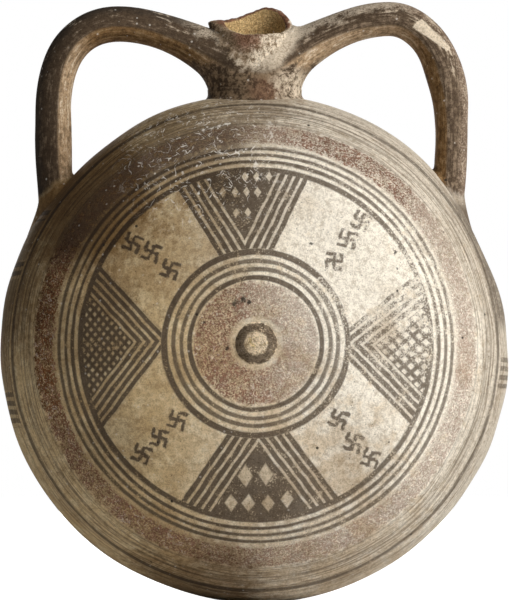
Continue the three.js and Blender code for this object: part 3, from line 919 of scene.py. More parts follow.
def neck_mesh():
    """The tube of the neck: up the outside, over the broken lip and down the inside."""
    turns = np.linspace(0, math.tau, NECK_TURNS, endpoint=False)
    foot = BODY_TOP - NECK_TUCK
    top = lip_height(turns) + chips(turns)
    rise = np.linspace(0, 1, NECK_RISE_STEPS)
    rings = []

    def ring(height, inset, outer_share):
        flare = LIP_LEFT_FLARE * at_left(turns) * np.clip((height - BODY_TOP) / NECK_HEIGHT, 0, 1) ** 4
        radius = neck_radius(height) - inset + flare * outer_share
        rings.append(np.stack([radius * np.sin(turns), -radius * np.cos(turns), height], axis=1))

    for share in rise:
        ring(foot + (top - NECK_WALL / 2 - foot) * share, 0, 1)
    for bend in np.linspace(0, math.pi, LIP_STEPS + 2)[1:-1]:
        inner_share = (1 - np.cos(bend)) / 2
        ring(top - NECK_WALL / 2 + NECK_WALL / 2 * np.sin(bend), NECK_WALL * inner_share, 1 - inner_share)
    for share in rise[::-1]:
        ring(foot + (top - NECK_WALL / 2 - foot) * share, NECK_WALL, 0)
    mesh = ring_mesh("neck", np.array(rings))
    inside = np.clip((np.arange(len(rings)) - NECK_RISE_STEPS) / LIP_STEPS, 0, 1)
    keep_share(mesh, "inside", np.repeat(inside, NECK_TURNS))
    return mesh


STRAP_BROWN = (0.088, 0.058, 0.034)
CRUST_TAUPE = (0.31, 0.22, 0.135)
CRUST_PALE = (0.62, 0.53, 0.41)
CRUST_RED = (0.20, 0.095, 0.055)
CRUST_YELLOW = (0.60, 0.50, 0.32)
BARE_CLAY = (0.44, 0.31, 0.185)
MOUTH_TAN = (0.64, 0.46, 0.22)
MOUTH_BROWN = (0.30, 0.185, 0.075)
CRUST_LEFT = {"across": -8.2, "up": 129.6, "lean": 0.585}
CRUST_RIGHT = {"across": 12.4, "up": 131.4, "lean": 0.67}
CRUST_FOOT = 128.5
CRUST_EDGE = (-2.0, 2.5)
PALE_BELOW = (140.0, 130.0)
RED_PATCH = {"middle": (-4.0, 144.0), "reach": 10.0, "full_within": 3.0}
FOOT_RED_PATCH = {"middle": (4.0, 118.5), "reach": 10.0, "full_within": 3.0}
FOOT_PALE_PATCH = {"middle": (18.0, 121.5), "reach": 13.0, "full_within": 3.9}
# The dark band at the foot of the neck is partly dark paint and partly painted shadow under the straps, and
# darker towards the left as painted shade.
SHADED_FOOT_BAND = {"top": 128.0, "from": 8.0, "lean": 0.28, "ends": (34.0, 28.0), "edge": (-1.2, 1.6)}
FOOT_WEAR_AND_SHADE = (-22.0, 6.0)
LUG_STAIN = {"across": (6.0, 12.0), "up": (149.0, 154.0)}
RED_EDGE = (146.0, 151.0)


def crust_group():
    """The worn triangle between the straps, and the dark band at the foot, partly painted shadow under the
    straps: their places and colours.
    """
    outputs = {"Crust": "Float", "Colour": "Color", "Foot": "Float", "Foot Colour": "Color"}
    group, _ = effect_group("neck_crust", (), outputs)
    place, age = used(group, on_flask), used(group, aged)
    ragged = (age["Mottle"] - 0.5) * 12.0 + (age["Patina"] - 0.5) * 10.0
    across, up = place["Across"] + ragged, place["Up"] + ragged * 0.5
    from_left = across - CRUST_LEFT["across"] + (up - CRUST_LEFT["up"]) * CRUST_LEFT["lean"]
    from_right = (up - CRUST_RIGHT["up"]) * CRUST_RIGHT["lean"] + CRUST_RIGHT["across"] - across
    crust = rising(from_left, *CRUST_EDGE) * rising(from_right, *CRUST_EDGE)
    crust = crust * rising(up, CRUST_FOOT - 2, CRUST_FOOT + 2)
    flaking = age["Patina"] * 0.5 + age["Mottle"] * 0.3 + age["Grain"] * 0.2
    low = rising(up, *PALE_BELOW)
    pale = rising(flaking + place["Across"] * 0.006 + low * 0.06, 0.43, 0.58)
    colour = over(group, pale, CRUST_TAUPE, CRUST_PALE)
    colour = over(group, about(across, up, RED_PATCH) * 0.85, colour, CRUST_RED)
    # The dark band at the foot: its upper edge follows the shadow under the straps, so it is partly painted
    # shadow.
    aside = abs(place["Across"])
    beyond = (aside - SHADED_FOOT_BAND["from"]).math("MAXIMUM", 0.0) * SHADED_FOOT_BAND["lean"]
    foot = rising(beyond + SHADED_FOOT_BAND["top"] - up, *SHADED_FOOT_BAND["edge"]) * rising(aside, *SHADED_FOOT_BAND["ends"])
    # Less worn towards the left, where the band is darker as painted shade.
    foot_worn = rising(flaking + rising(across, *FOOT_WEAR_AND_SHADE) * 0.06, 0.46, 0.60)
    foot_colour = over(group, foot_worn * 0.85, STRAP_BROWN, CRUST_TAUPE)
    foot_colour = over(group, about(across, up, FOOT_RED_PATCH) * 0.5, foot_colour, CRUST_RED)
    foot_pale = about(across, up, FOOT_PALE_PATCH) * rising(flaking, 0.40, 0.54)
    foot_colour = over(group, foot_pale, foot_colour, CRUST_PALE)
    return end_group(group, {"Crust": crust, "Colour": colour, "Foot": foot, "Foot Colour": foot_colour})


neck_crust = crust_group()


def neck_slip_material():
    """The neck outside its crust, the broken edge of its lip, and the bare mouth."""
    material, tree, shader = matt_material("neck_slip")
    place, age, crust = used(tree, on_flask), used(tree, aged), used(tree, neck_crust)
    inside = Wire(add_node(tree, "ShaderNodeAttribute", attribute_name="inside").outputs["Fac"])
    # Outside the crust the neck has the dark foot colour, darker towards the left as painted shade.
    colour = over(tree, crust["Crust"], crust["Foot Colour"], crust["Colour"])
    lug = rising(place["Across"], *LUG_STAIN["across"]) * rising(place["Up"], *LUG_STAIN["up"])
    colour = over(tree, lug * rising(age["Mottle"], 0.4, 0.55) * 0.8, colour, CRUST_RED)
    mouth = over(tree, rising(age["Patina"], 0.46, 0.60) * 0.8, MOUTH_TAN, MOUTH_BROWN)
    edge = over(tree, rising(place["Up"], *RED_EDGE), CRUST_YELLOW, CRUST_RED)
    colour = over(tree, rising(inside, 0.15, 0.35) * rising(age["Mottle"], 0.34, 0.46), colour, edge)
    colour = over(tree, rising(inside, 0.8, 1.0), colour, mouth)
    feed(shader.inputs["Base Color"], with_dirt_and_shade(tree, colour, age, 0.8, 0.1, age["Flecks"] * 0.6))
    roughen(tree, shader, age["Height"])
    return material


neck_slip = neck_slip_material()
finish_piece("thrown_neck", neck_mesh(), neck_slip, "neck")


# Handles: two straps of clay, pulled by hand to a flattened oval, bent over and pressed onto the shoulder
# and the neck while wet. Their ends are smoothed out wide, and their paint is worn along the edges.
STRAP_WIDTH = 21 * MM
STRAP_SQUARENESS = 1.8
STRAP_RIDGE_SHIFT = 0.24
STRAP_ROOT_SPREAD = 5 * MM
STRAP_ROOT_PINCH = 3.4 * MM
STRAP_ROOT_SPREAD_LENGTH = 46 * MM
STRAP_NECK_SPREAD = 15 * MM
STRAP_NECK_SWELL = 11 * MM
STRAP_NECK_SPREAD_LENGTH = 44 * MM
STRAP_NECK_DEPTH = 9 * MM
STRAP_OVERRUN = 14 * MM
STRAP_BURIED_HEIGHT = 0.45 * BODY_RADIUS
STRAP_FALL = math.radians(35)
STRAP_STATIONS = 150
STRAP_SIDES = 72
STRAP_END_STEPS = 44
STRAP_BODY_STEPS = 110
STRAP_BEND_STEPS = 40
HANDLES = {
    "left_handle": {
        "side": -1,
        "thickness": 16.7 * MM,
        "root": math.radians(52.8),
        "crest": 32.8 * MM,
        "reach": 31 * MM,
        "rise": 42 * MM,
        "bend": 0.66,
        "landing": 12.5 * MM,
        "uneven": ((0.60, 0.20, 0.8 * MM, 0),),
    },
    "right_handle": {
        "side": 1,
        "thickness": 16 * MM,
        "root": math.radians(51.0),
        "crest": 35.8 * MM,
        "reach": 30.5 * MM,
        "rise": 43 * MM,
        "bend": 0.59,
        "landing": 13.5 * MM,
        "uneven": ((0.41, 0.08, 0, 2.0 * MM), (0.58, 0.04, 0.5 * MM, 0), (0.25, 0.07, 0, -0.8 * MM)),
    },
}
ROOT_BLEND_INNER = 3 * MM
ROOT_BLEND_OUTER = 6 * MM
NECK_BLEND_TOP = 6 * MM
NECK_BLEND_UNDER = 8.5 * MM
LUTE_SINK = 0.4 * MM
LUTE_STEP = 0.25 * MM
LUTE_STEPS = 200
LUTE_RUBS = 6
DRAW_STEPS = 8
LEAST_SLOPE = 0.05
SLOPE_STEP = 0.05 * MM
UNDER = 1.4 * MM
CAP_SHARES = (0.8, 0.6, 0.4, 0.2)


def strap_path(name, handle):
    """The middle line of a strap: up from inside the wall, round a bend and down across the neck."""
    side, reach, rise = handle["side"], handle["reach"], handle["rise"]
    root_x = side * BODY_RADIUS * math.sin(handle["root"])
    spring = np.array([root_x, 0, BODY_TOP + handle["crest"] - rise])
    peak = np.array([root_x - side * reach, 0, BODY_TOP + handle["crest"]])
    end = np.array([side * STRAP_NECK_DEPTH, 0, BODY_TOP + handle["landing"]])
    buried = np.array([root_x, 0, CENTRE_HEIGHT + STRAP_BURIED_HEIGHT])
    up, inwards = np.array([0, 0, 1]), np.array([-side, 0, 0])
    fall = np.array([-side * math.cos(STRAP_FALL), 0, -math.sin(STRAP_FALL)])
    past = end + STRAP_OVERRUN * fall
    pull = abs(peak[0] - end[0]) / 3
    upright = (spring - buried) / 3
    knots = [
        (buried, buried, buried + upright),
        (spring, spring - upright, spring + handle["bend"] * rise * up),
        (peak, peak - handle["bend"] * reach * inwards, peak + pull * inwards),
        (end, end - pull * fall, end + (past - end) / 3),
        (past, past - (past - end) / 3, past),
    ]
    data = bpy.data.curves.new(name, "CURVE")
    data.dimensions = "3D"
    data.resolution_u = STRAP_BEND_STEPS
    spline = data.splines.new("BEZIER")
    spline.bezier_points.add(len(knots) - 1)
    for knot, (spot, before, after) in zip(spline.bezier_points, knots):
        knot.handle_left_type = knot.handle_right_type = "FREE"
        knot.co, knot.handle_left, knot.handle_right = spot, before, after
    path = bpy.data.objects.new(name, data)
    bpy.context.scene.collection.objects.link(path)
    return path


def pulled_strap_tree():
    """A flattened oval strap along a path in the plane of the seam, spread towards its two ends."""
    lengths = ("Thickness", "Width", "Squareness", "Ridge Shift")
    lengths += ("Root Spread", "Root Pinch", "Root Spread Length")
    lengths += ("End Spread", "End Swell", "End Spread Length", "Overrun", "Outward")
    sizes = {"Path": bpy.types.Object} | {name: float for name in lengths} | {"Stations": int, "Sides": int}
    tree, size = shape_tree("pulled_strap", sizes)
    grid, along, around = grid_shares(tree, size["Stations"], size["Sides"] + 1)
    route = add_node(tree, "GeometryNodeObjectInfo", {"Object": size["Path"]})
    route_shape = Wire(route.outputs["Geometry"])
    measure = add_node(tree, "GeometryNodeCurveLength", {"Curve": route_shape})
    spot = add_node(tree, "GeometryNodeSampleCurve", mode="FACTOR", use_all_curves=True)
    feed(spot.inputs["Curves"], route_shape)
    feed(spot.inputs["Factor"], along)
    middle = add_node(tree, "ShaderNodeSeparateXYZ", {"Vector": Wire(spot.outputs["Position"])})
    heading = add_node(tree, "ShaderNodeSeparateXYZ", {"Vector": Wire(spot.outputs["Tangent"])})
    length = Wire(measure.outputs[0])
    from_root = along * length
    from_end = (length - size["Overrun"] - from_root).math("MAXIMUM", 0.0)
    at_root = (1.0 - from_root / size["Root Spread Length"]).math("MAXIMUM", 0.0) ** 2.0
    at_end = (1.0 - from_end / size["End Spread Length"]).math("MAXIMUM", 0.0) ** 2.0
    half_thick = (size["Thickness"] + at_end * size["End Swell"] - at_root * size["Root Pinch"]) / 2.0
    half_wide = (size["Width"] + at_root * size["Root Spread"] + at_end * size["End Spread"]) / 2.0
    turn = around * math.tau
    rounding = 2.0 / size["Squareness"]

    def squared(wave):
        return wave.math("SIGN") * abs(wave) ** rounding

    ridge = size["Ridge Shift"] * squared(turn.math("SINE")) ** 2.0
    out = half_thick * (squared(turn.math("COSINE")) - ridge) * size["Outward"]
    x = Wire(middle.outputs["X"]) + out * Wire(heading.outputs["Z"])
    z = Wire(middle.outputs["Z"]) - out * Wire(heading.outputs["X"])
    strap = moved_to(tree, grid, x, half_wide * squared(turn.math("SINE")), z)
    end_tree(tree, strap, size["Material"])
    return tree


def strap_rails(name, path, sizes):
    """Points of a strap as rails: stations along its path, and places round its section."""
    mesh = grown(name, strap_tree, sizes | {"Path": path})
    bpy.data.objects.remove(path)
    points = np.empty(len(mesh.vertices) * 3)
    mesh.vertices.foreach_get("co", points)
    bpy.data.meshes.remove(mesh)
    return points.reshape(sizes["Stations"], sizes["Sides"] + 1, 3)[:, :-1]


def body_distance(points):
    """How far points lie outside the body, and below 0 inside it."""
    rho = np.hypot(points[:, 0], points[:, 2] - CENTRE_HEIGHT) / BODY_RADIUS
    depth = np.abs(points[:, 1]) / BODY_HALF_DEPTH
    total = np.maximum(rho**BODY_FULLNESS + depth**BODY_FULLNESS, 1e-9)
    less = BODY_FULLNESS - 1
    slope = np.hypot(rho**less / BODY_RADIUS, depth**less / BODY_HALF_DEPTH)
    slope = slope * total ** (1 / BODY_FULLNESS - 1)
    return (total ** (1 / BODY_FULLNESS) - 1) / np.maximum(slope, 1e-6)


def neck_distance(points):
    """How far points lie outside the neck."""
    return np.hypot(points[:, 0], points[:, 1]) - neck_radius(points[:, 2])


def strap_distance(rails):
    """A function that gives how far points lie outside a strap."""
    middles = (rails[:, 0] + rails[:, STRAP_SIDES // 2]) / 2
    half_thick = np.linalg.norm(rails[:, 0] - rails[:, STRAP_SIDES // 2], axis=1) / 2
    half_wide = np.abs(rails[:, STRAP_SIDES // 4, 1])
    outward = unit(rails[:, 0] - middles)
    heading = unit(np.gradient(middles, axis=0))
    spacing = np.linalg.norm(np.diff(middles, axis=0), axis=1).max()
    power = STRAP_SQUARENESS

    def distance(points):
        apart = points[:, None, ::2] - middles[None, :, ::2]
        near = np.argmin((apart**2).sum(2), axis=1)
        off = points - middles[near]
        b = np.abs(off[:, 1]) / half_wide[near]
        ridge = STRAP_RIDGE_SHIFT * np.minimum(b, 1) ** 2
        a = np.abs((off * outward[near]).sum(1) / half_thick[near] + ridge)
        total = a**power + b**power + 1e-9
        steep = np.hypot(a ** (power - 1) / half_thick[near], b ** (power - 1) / half_wide[near])
        side_gap = (total ** (1 / power) - 1) * total ** (1 - 1 / power) / np.maximum(steep, 1e-6)
        past_end = np.abs((off * heading[near]).sum(1)) - spacing
        return np.where(past_end > 0, np.hypot(np.maximum(side_gap, 0), past_end), side_gap)

    return distance


def smooth_least(a, b, blend):
    """The lesser of two distances, rounded where they are within a blend of each other."""
    return np.minimum(a, b) - np.maximum(blend - np.abs(a - b), 0) ** 2 / (4 * blend)


def slope_of(distance, points):
    """The direction in which a distance grows, and how fast it does."""
    sides = []
    for step in SLOPE_STEP * np.eye(3):
        sides.append((distance(points + step) - distance(points - step)) / (2 * SLOPE_STEP))
    return np.stack(sides, axis=1)


def drawn_to(distance, points, level):
    """Points moved along the slope of a distance until they lie at a level of it."""
    for _ in range(DRAW_STEPS):
        slope = slope_of(distance, points)
        miss = distance(points) - level
        points = points - (miss / np.maximum((slope**2).sum(1), LEAST_SLOPE))[:, None] * slope
    return points


def unit(vectors):
    """Vectors of the same directions and a length of 1."""
    return vectors / np.maximum(np.linalg.norm(vectors, axis=-1, keepdims=True), 1e-12)


def evenly(line, count):
    """Evenly spaced points along a line of points."""
    run = np.concatenate([[0], np.cumsum(np.linalg.norm(np.diff(line, axis=0), axis=1))])
    wanted = np.linspace(0, run[-1], count)
    return np.stack([np.interp(wanted, run, line[:, axis]) for axis in range(3)], axis=1)


def luted(rails, own, host, blend, count):
    """Carries each rail of a piece on in a hollow curve, down onto its host and just under its surface.

    Rails run along the first axis towards the host. A blend for each rail sets how wide its curve is."""
    each = np.arange(rails.shape[1])
    gaps = host(rails.reshape(-1, 3)).reshape(rails.shape[:2])
    starts = np.maximum(np.argmax(gaps < blend + LUTE_SINK, axis=0) - 1, 0)
    points = rails[starts, each]
    ahead = unit(rails[starts + 1, each] - points)
    across = unit(np.cross(ahead, slope_of(own, points)))

    def joined(spots):
        return smooth_least(own(spots), host(spots) + LUTE_SINK, blend)

    def level_slope(spots):
        slope = slope_of(joined, spots)
        return slope - (slope * across).sum(1, keepdims=True) * across

    tracks = [points]
    running = np.ones(len(each), bool)
    for _ in range(LUTE_STEPS):
        step = points + LUTE_STEP * unit(np.cross(level_slope(points), across))
        for _ in range(2):
            slope = level_slope(step)
            miss = joined(step) / np.maximum((slope**2).sum(1), LEAST_SLOPE)
            step = step - miss[:, None] * slope
        points = np.where(running[:, None], step, points)
        running &= own(points) < host(points) + LUTE_SINK + blend
        tracks.append(points)
    tracks = np.array(tracks)
    ends = np.stack([evenly(tracks[:, k], count) for k in each], axis=1)
    fade = np.linspace(0, 1, count)[:, None, None]
    for _ in range(LUTE_RUBS):
        beside = (np.roll(ends, 1, axis=1) + np.roll(ends, -1, axis=1)) / 2
        ends = ends + fade * (beside - ends) / 2
    ends[-1] = drawn_to(host, ends[-1], -LUTE_SINK)
    return starts, ends


def below_lip(points):
    """Points of a strap's end pressed down where they would stand above the broken lip."""
    turn = np.arctan2(points[..., 0], -points[..., 1]) % math.tau
    clear = np.maximum(np.hypot(points[..., 0], points[..., 1]) - neck_radius(points[..., 2]), 0)
    pressed = points.copy()
    pressed[..., 2] = smooth_least(points[..., 2], lip_height(turn) - LIP_PRESS + clear, LIP_PRESS_BLEND)
    return pressed


def capped(rim, host):
    """Rings that close a luted end under its host, and the point in their middle."""
    under = drawn_to(host, rim, -UNDER)
    middle = drawn_to(host, under.mean(axis=0, keepdims=True), -UNDER)
    rings = [under]
    for share in CAP_SHARES:
        rings.append(drawn_to(host, middle + (under - middle) * share, -UNDER))
    return rings, middle[0]


def pulled_by_hand(rails, handle, outer_share):
    """The strap as a hand leaves it: at each of its uneven places it is lifted, or swells into the loop."""
    run = np.linspace(0, 1, len(rails))[:, None]
    outwards = unit(rails - rails.mean(axis=1, keepdims=True))
    pulled = rails.copy()
    for place, span, lift, swell in handle["uneven"]:
        near = np.exp(-(((run - place) / span) ** 2))
        pulled[..., 2] += lift * near
        pulled += (swell * near * (1 - outer_share) ** 1.5)[..., None] * outwards
    return pulled


def handle_mesh(name, rails, outer_share):
    """A strap luted to the shoulder at its root and to the neck at its end, and closed under both."""
    own = strap_distance(rails)
    root_blend = ROOT_BLEND_INNER + (ROOT_BLEND_OUTER - ROOT_BLEND_INNER) * outer_share
    neck_blend = NECK_BLEND_UNDER + (NECK_BLEND_TOP - NECK_BLEND_UNDER) * outer_share
    middle = STRAP_STATIONS // 2
    root_starts, root_end = luted(rails[middle::-1], own, body_distance, root_blend, STRAP_END_STEPS)
    neck_starts, neck_end = luted(rails[middle:], own, neck_distance, neck_blend, STRAP_END_STEPS)
    span = []
    for k in range(STRAP_SIDES):
        first, last = middle - root_starts[k], middle + neck_starts[k]
        span.append(evenly(rails[first : last + 1, k], STRAP_BODY_STEPS))
    span = np.stack(span, axis=1)
    root_cap, root_middle = capped(root_end[-1], body_distance)
    neck_end = below_lip(neck_end)
    neck_cap, neck_middle = capped(neck_end[-1], neck_distance)
    rings = [*root_cap[::-1], *root_end[:0:-1], *span, *neck_end[1:], *neck_cap]
    mesh = ring_mesh(name, np.array(rings), root_middle, neck_middle)
    keep_share(mesh, "facing_out", np.tile(2 * outer_share - 1, len(rings)))
    keep_share(mesh, "along", np.repeat(np.linspace(0, 1, len(rings)), STRAP_SIDES))
    return mesh


WORN_TAN = (0.34, 0.255, 0.175)
WORN_RUST = (0.27, 0.19, 0.135)
# Near black on the outer edge of the left strap is painted shade.
OUTER_SHADE_BLACK = (0.035, 0.027, 0.02)
SHADED_CLAY_TINT = (0.52, 0.42, 0.28)
STRAP_WEAR = (-40.0, 60.0)
RIGHT_STRAP = (-60.0, 60.0)
NECK_ENDS = {"middle": 20.0, "reach": (60.0, 40.0)}
WORN_TOP = (122.0, 134.0)
NARROW_CLAY = {"across": (24.0, 60.0), "up": (100.0, 130.0), "share": 0.28}
RIGHT_SHADE = (60.0, 82.0)
LEFT_SHADE = ((-86.0, -74.0), (-10.0, -30.0))
PULL_MARKS = {"facing": 7.0, "along": 18.0, "strap": 9.0}
PAINT_FOOT = {
    "across": 101.0,
    "up": 70.2,
    "left_lean": 0.7,
    "right_lean": 0.2,
    "reach": 16.0,
    "edge": (2.5, -2.5),
}
BEND_CHIP = {
    "across": 83.2,
    "up": 144.4,
    "turn": -0.78,
    "along": (-10.5, 8.5),
    "aside": (-3.4, 2.9),
    "taper": 0.2,
}


def streaks_of_pulling(tree, across, facing, patina):
    """Streaks along a strap, as the wet hand that pulled it left them."""
    along = Wire(add_node(tree, "ShaderNodeAttribute", attribute_name="along").outputs["Fac"])
    pulled = {
        "X": facing * PULL_MARKS["facing"],
        "Y": along * PULL_MARKS["along"],
        "Z": rising(across, -1.0, 1.0) * PULL_MARKS["strap"],
    }
    pulled_place = Wire(add_node(tree, "ShaderNodeCombineXYZ", pulled).outputs[0])
    return patina * 0.35 + noise(tree, pulled_place, 1.0, 4.0, 0.65) * 0.65


def worn_strap_colour(tree, place, age, facing, streaky, at_right):
    """The paint of a strap: worn in streaks, painted near black with shade at the outer edge of the left
    strap and worn rusty at that of the right, and bared in places.
    """
    across, up = place["Across"], place["Up"]
    rub = age["Grain"] * 0.6 + age["Mottle"] * 0.4
    streaks = rising(streaky + rising(across, *STRAP_WEAR) * 0.05, 0.50, 0.66)
    colour = over(tree, streaks * 0.6, STRAP_BROWN, WORN_TAN)
    # Painted shade: the outer edge of the left strap, turned away from the lamp, is near black, and that of
    # the right strap is worn rusty.
    outer_edge_wear_and_shade = rising(facing + (age["Mottle"] - 0.5) * 0.8, 0.55, 0.95)
    colour = over(tree, outer_edge_wear_and_shade * 0.7, colour, over(tree, at_right, OUTER_SHADE_BLACK, WORN_RUST))
    flaked = rising(facing, 0.5, 0.9) * rising(rub, 0.51, 0.59) * at_right * 0.7
    at_neck = rising(abs(across - NECK_ENDS["middle"]), *NECK_ENDS["reach"])
    neck_edge = rising(facing + (age["Mottle"] - 0.5) * 1.2, 0.5, 0.8) * at_neck
    top = rising(up, *WORN_TOP) * rising(facing, 0.2, 0.5)
    worn_top = rising(streaky + at_right * 0.05, 0.56, 0.66) * top
    bared = most([flaked, neck_edge * rising(rub, 0.40, 0.52), worn_top])
    return over(tree, bared * 0.8, colour, CRUST_PALE)


def chip_on_bend(across, up, ragged):
    """A long chip on the bend of the right strap, narrowing to its upper end."""
    from_across, from_up = across - BEND_CHIP["across"], up - BEND_CHIP["up"]
    cosine, sine = math.cos(BEND_CHIP["turn"]), math.sin(BEND_CHIP["turn"])
    along = from_across * cosine + from_up * sine + ragged * 0.3
    aside = from_up * cosine - from_across * sine + ragged * 0.2
    narrowing = (along - BEND_CHIP["along"][0]) * BEND_CHIP["taper"]
    widest = BEND_CHIP["aside"][1]
    chip = within(along, *BEND_CHIP["along"]) * within(aside - narrowing, *BEND_CHIP["aside"])
    return chip * rising(aside, widest + BRUSH_EDGE, widest - BRUSH_EDGE)


def loop_clay_colour(tree, across, streaky):
    """The bare clay of the faces towards the loop, in shade inside the two bends."""
    colour = over(tree, rising(streaky, 0.50, 0.40) * 0.75, BARE_CLAY, STREAK_BROWN)
    colour = over(tree, rising(streaky, 0.50, 0.62) * 0.8, colour, CREAM)
    shaded = rising(across, *RIGHT_SHADE) + rising(across, *LEFT_SHADE[0]) * rising(across, *LEFT_SHADE[1])
    return over(tree, shaded, colour, SHADED_CLAY_TINT, "MULTIPLY")


def under_the_paint(across, up, ragged, at_right):
    """Where the slip of the shoulder shows below the foot of the strap's paint."""
    inward = (PAINT_FOOT["across"] - abs(across)).math("MINIMUM", PAINT_FOOT["reach"])
    lean = at_right * (PAINT_FOOT["right_lean"] - PAINT_FOOT["left_lean"]) + PAINT_FOOT["left_lean"]
    foot = inward * lean + PAINT_FOOT["up"]
    return rising(up - foot + ragged * 0.8, *PAINT_FOOT["edge"])


def dark_paint_material():
    """Dark paint on the front and outer faces of the straps. The faces towards the loop stay bare."""
    material, tree, shader = matt_material("dark_paint")
    place, age = used(tree, on_flask), used(tree, aged)
    slip, crust = used(tree, cream_slip), used(tree, neck_crust)
    across, up = place["Across"], place["Up"]
    facing = Wire(add_node(tree, "ShaderNodeAttribute", attribute_name="facing_out").outputs["Fac"])
    ragged = (age["Mottle"] - 0.5) * 10.0
    at_right = rising(across, *RIGHT_STRAP)
    streaky = streaks_of_pulling(tree, across, facing, age["Patina"])
    colour = worn_strap_colour(tree, place, age, facing, streaky, at_right)
    colour = over(tree, chip_on_bend(across, up, ragged) * place["Front"] * 0.95, colour, CREAM)
    narrowed = rising(across, *NARROW_CLAY["across"]) * rising(up, *NARROW_CLAY["up"]) * NARROW_CLAY["share"]
    bare = rising(facing + narrowed + (streaky - 0.5) * 0.6, 0.0, -0.2)
    colour = over(tree, bare, colour, loop_clay_colour(tree, across, streaky))
    below_paint = under_the_paint(across, up, ragged, at_right)
    blotches = side_shadow(across, up, place["Ring"], age["Patina"])
    bowl_colour = over(tree, blotches.math("MAXIMUM", at_right * 0.3), slip["Colour"], SMEAR_BROWN)
    colour = over(tree, below_paint, colour, bowl_colour)
    # The dark band at the foot of the neck, partly dark paint and partly painted shadow under the straps.
    colour = over(tree, crust["Foot"], colour, crust["Foot Colour"])
    colour = over(tree, crust["Crust"], colour, crust["Colour"])
    # Stains and painted shade of the slip, and a further darkening of the slip below the paint of the straps.
    stain_and_shade = (slip["Stain And Shade"] * 0.5).math("MAXIMUM", below_paint * (slip["Stain And Shade"] * 0.6 + 0.35))
    feed(shader.inputs["Base Color"], with_dirt_and_shade(tree, colour, age, 0.4, stain_and_shade, age["Flecks"] * 0.5))
    roughen(tree, shader, age["Height"])
    return material


dark_paint = dark_paint_material()
strap_tree = pulled_strap_tree()
handle_rails = {}
for handle_name, handle in HANDLES.items():
    strap_sizes = {
        "Thickness": handle["thickness"],
        "Width": STRAP_WIDTH,
        "Squareness": STRAP_SQUARENESS,
        "Ridge Shift": STRAP_RIDGE_SHIFT,
        "Root Spread": STRAP_ROOT_SPREAD,
        "Root Pinch": STRAP_ROOT_PINCH,
        "Root Spread Length": STRAP_ROOT_SPREAD_LENGTH,
        "End Spread": STRAP_NECK_SPREAD,
        "End Swell": STRAP_NECK_SWELL,
        "End Spread Length": STRAP_NECK_SPREAD_LENGTH,
        "Overrun": STRAP_OVERRUN,
        "Outward": float(handle["side"]),
        "Stations": STRAP_STATIONS,
        "Sides": STRAP_SIDES,
        "Material": dark_paint,
    }
    handle_path = strap_path(handle_name + "_path", handle)
    plain_rails = strap_rails(handle_name, handle_path, strap_sizes)
    outer_share = 0.5 + 0.5 * np.cos(np.arange(STRAP_SIDES) * math.tau / STRAP_SIDES)
    handle_rails[handle_name] = pulled_by_hand(plain_rails, handle, outer_share)
    strap = handle_mesh(handle_name, handle_rails[handle_name], outer_share)
    finish_piece("pulled_" + handle_name, strap, dark_paint, handle_name, 80)


# Neck collar: a coil of clay pressed round the foot of the neck and under the ends of the handles, then
# smoothed to a hollow curve, so that the neck and the shoulder run into each other.
COLLAR_BLEND = 4.5 * MM
COLLAR_TURNS = 180
COLLAR_CURVE_STEPS = 20
COLLAR_FEATHER_STEPS = 6
COLLAR_SWELL = 0.5 * MM
COLLAR_RAIL_STEPS = 60
COLLAR_RAIL_TOP = 6 * MM
COLLAR_RAIL_FOOT = 9 * MM
COLLAR_WIDEST = 34 * MM
COLLAR_HALVINGS = 24


def waist_distance(points):
    """How far points lie outside the neck and the two straps that are pressed onto it."""
    total = neck_distance(points)
    for rails in handle_rails.values():
        total = smooth_least(strap_distance(rails)(points), total, NECK_BLEND_UNDER)
    return total


def collar_mesh():
    """The hollow curve from the neck and the straps out onto the shoulder, closed under them."""
    turns = np.linspace(0, math.tau, COLLAR_TURNS, endpoint=False)
    heading = np.stack([np.sin(turns), -np.cos(turns), np.zeros_like(turns)], axis=1)
    rails = []
    top, foot = BODY_TOP + COLLAR_RAIL_TOP, BODY_TOP - COLLAR_RAIL_FOOT
    for height in np.linspace(top, foot, COLLAR_RAIL_STEPS):
        near = np.full(COLLAR_TURNS, NECK_LIP_RADIUS)
        far = np.full(COLLAR_TURNS, COLLAR_WIDEST)
        for _ in range(COLLAR_HALVINGS):
            radius = (near + far) / 2
            outside = waist_distance(heading * radius[:, None] + np.array([0, 0, height])) > 0
            near, far = np.where(outside, near, radius), np.where(outside, radius, far)
        rails.append(heading * near[:, None] + np.array([0, 0, height]))
    blend = np.full(COLLAR_TURNS, COLLAR_BLEND)
    _, curve = luted(np.array(rails), waist_distance, body_distance, blend, COLLAR_CURVE_STEPS)
    from_top = np.minimum(np.arange(COLLAR_CURVE_STEPS) / COLLAR_FEATHER_STEPS, 1)
    lift = COLLAR_SWELL * from_top * (1 - from_top) - LUTE_SINK * (1 - from_top) ** 3
    skin = curve.reshape(-1, 3)
    skin = skin + np.repeat(lift, COLLAR_TURNS)[:, None] * unit(slope_of(waist_distance, skin))
    curve = skin.reshape(curve.shape)
    under_foot = drawn_to(body_distance, curve[-1], -UNDER)
    under_curve = drawn_to(body_distance, curve[COLLAR_CURVE_STEPS // 2], -UNDER)
    corner = drawn_to(waist_distance, under_curve, -UNDER)
    under_top = drawn_to(waist_distance, curve[0], -UNDER)
    return ring_mesh("collar", np.array([*curve, under_foot, corner, under_top]))


finish_piece("smoothed_collar", collar_mesh(), dark_paint, "neck_collar", 80)


# Root wads: lumps of clay smoothed into the outer corner below each handle, so that the strap runs out into
# the shoulder. They carry the same dark paint as the straps.
WAD_LENGTH = 30 * MM
WAD_WIDTH = 24 * MM
WAD_THICKNESS = 0.6 * MM
WAD_RINGS = 24
WAD_LAST_RING = 0.06
WAD_TURNS = 72
WAD_BLEND = 6 * MM


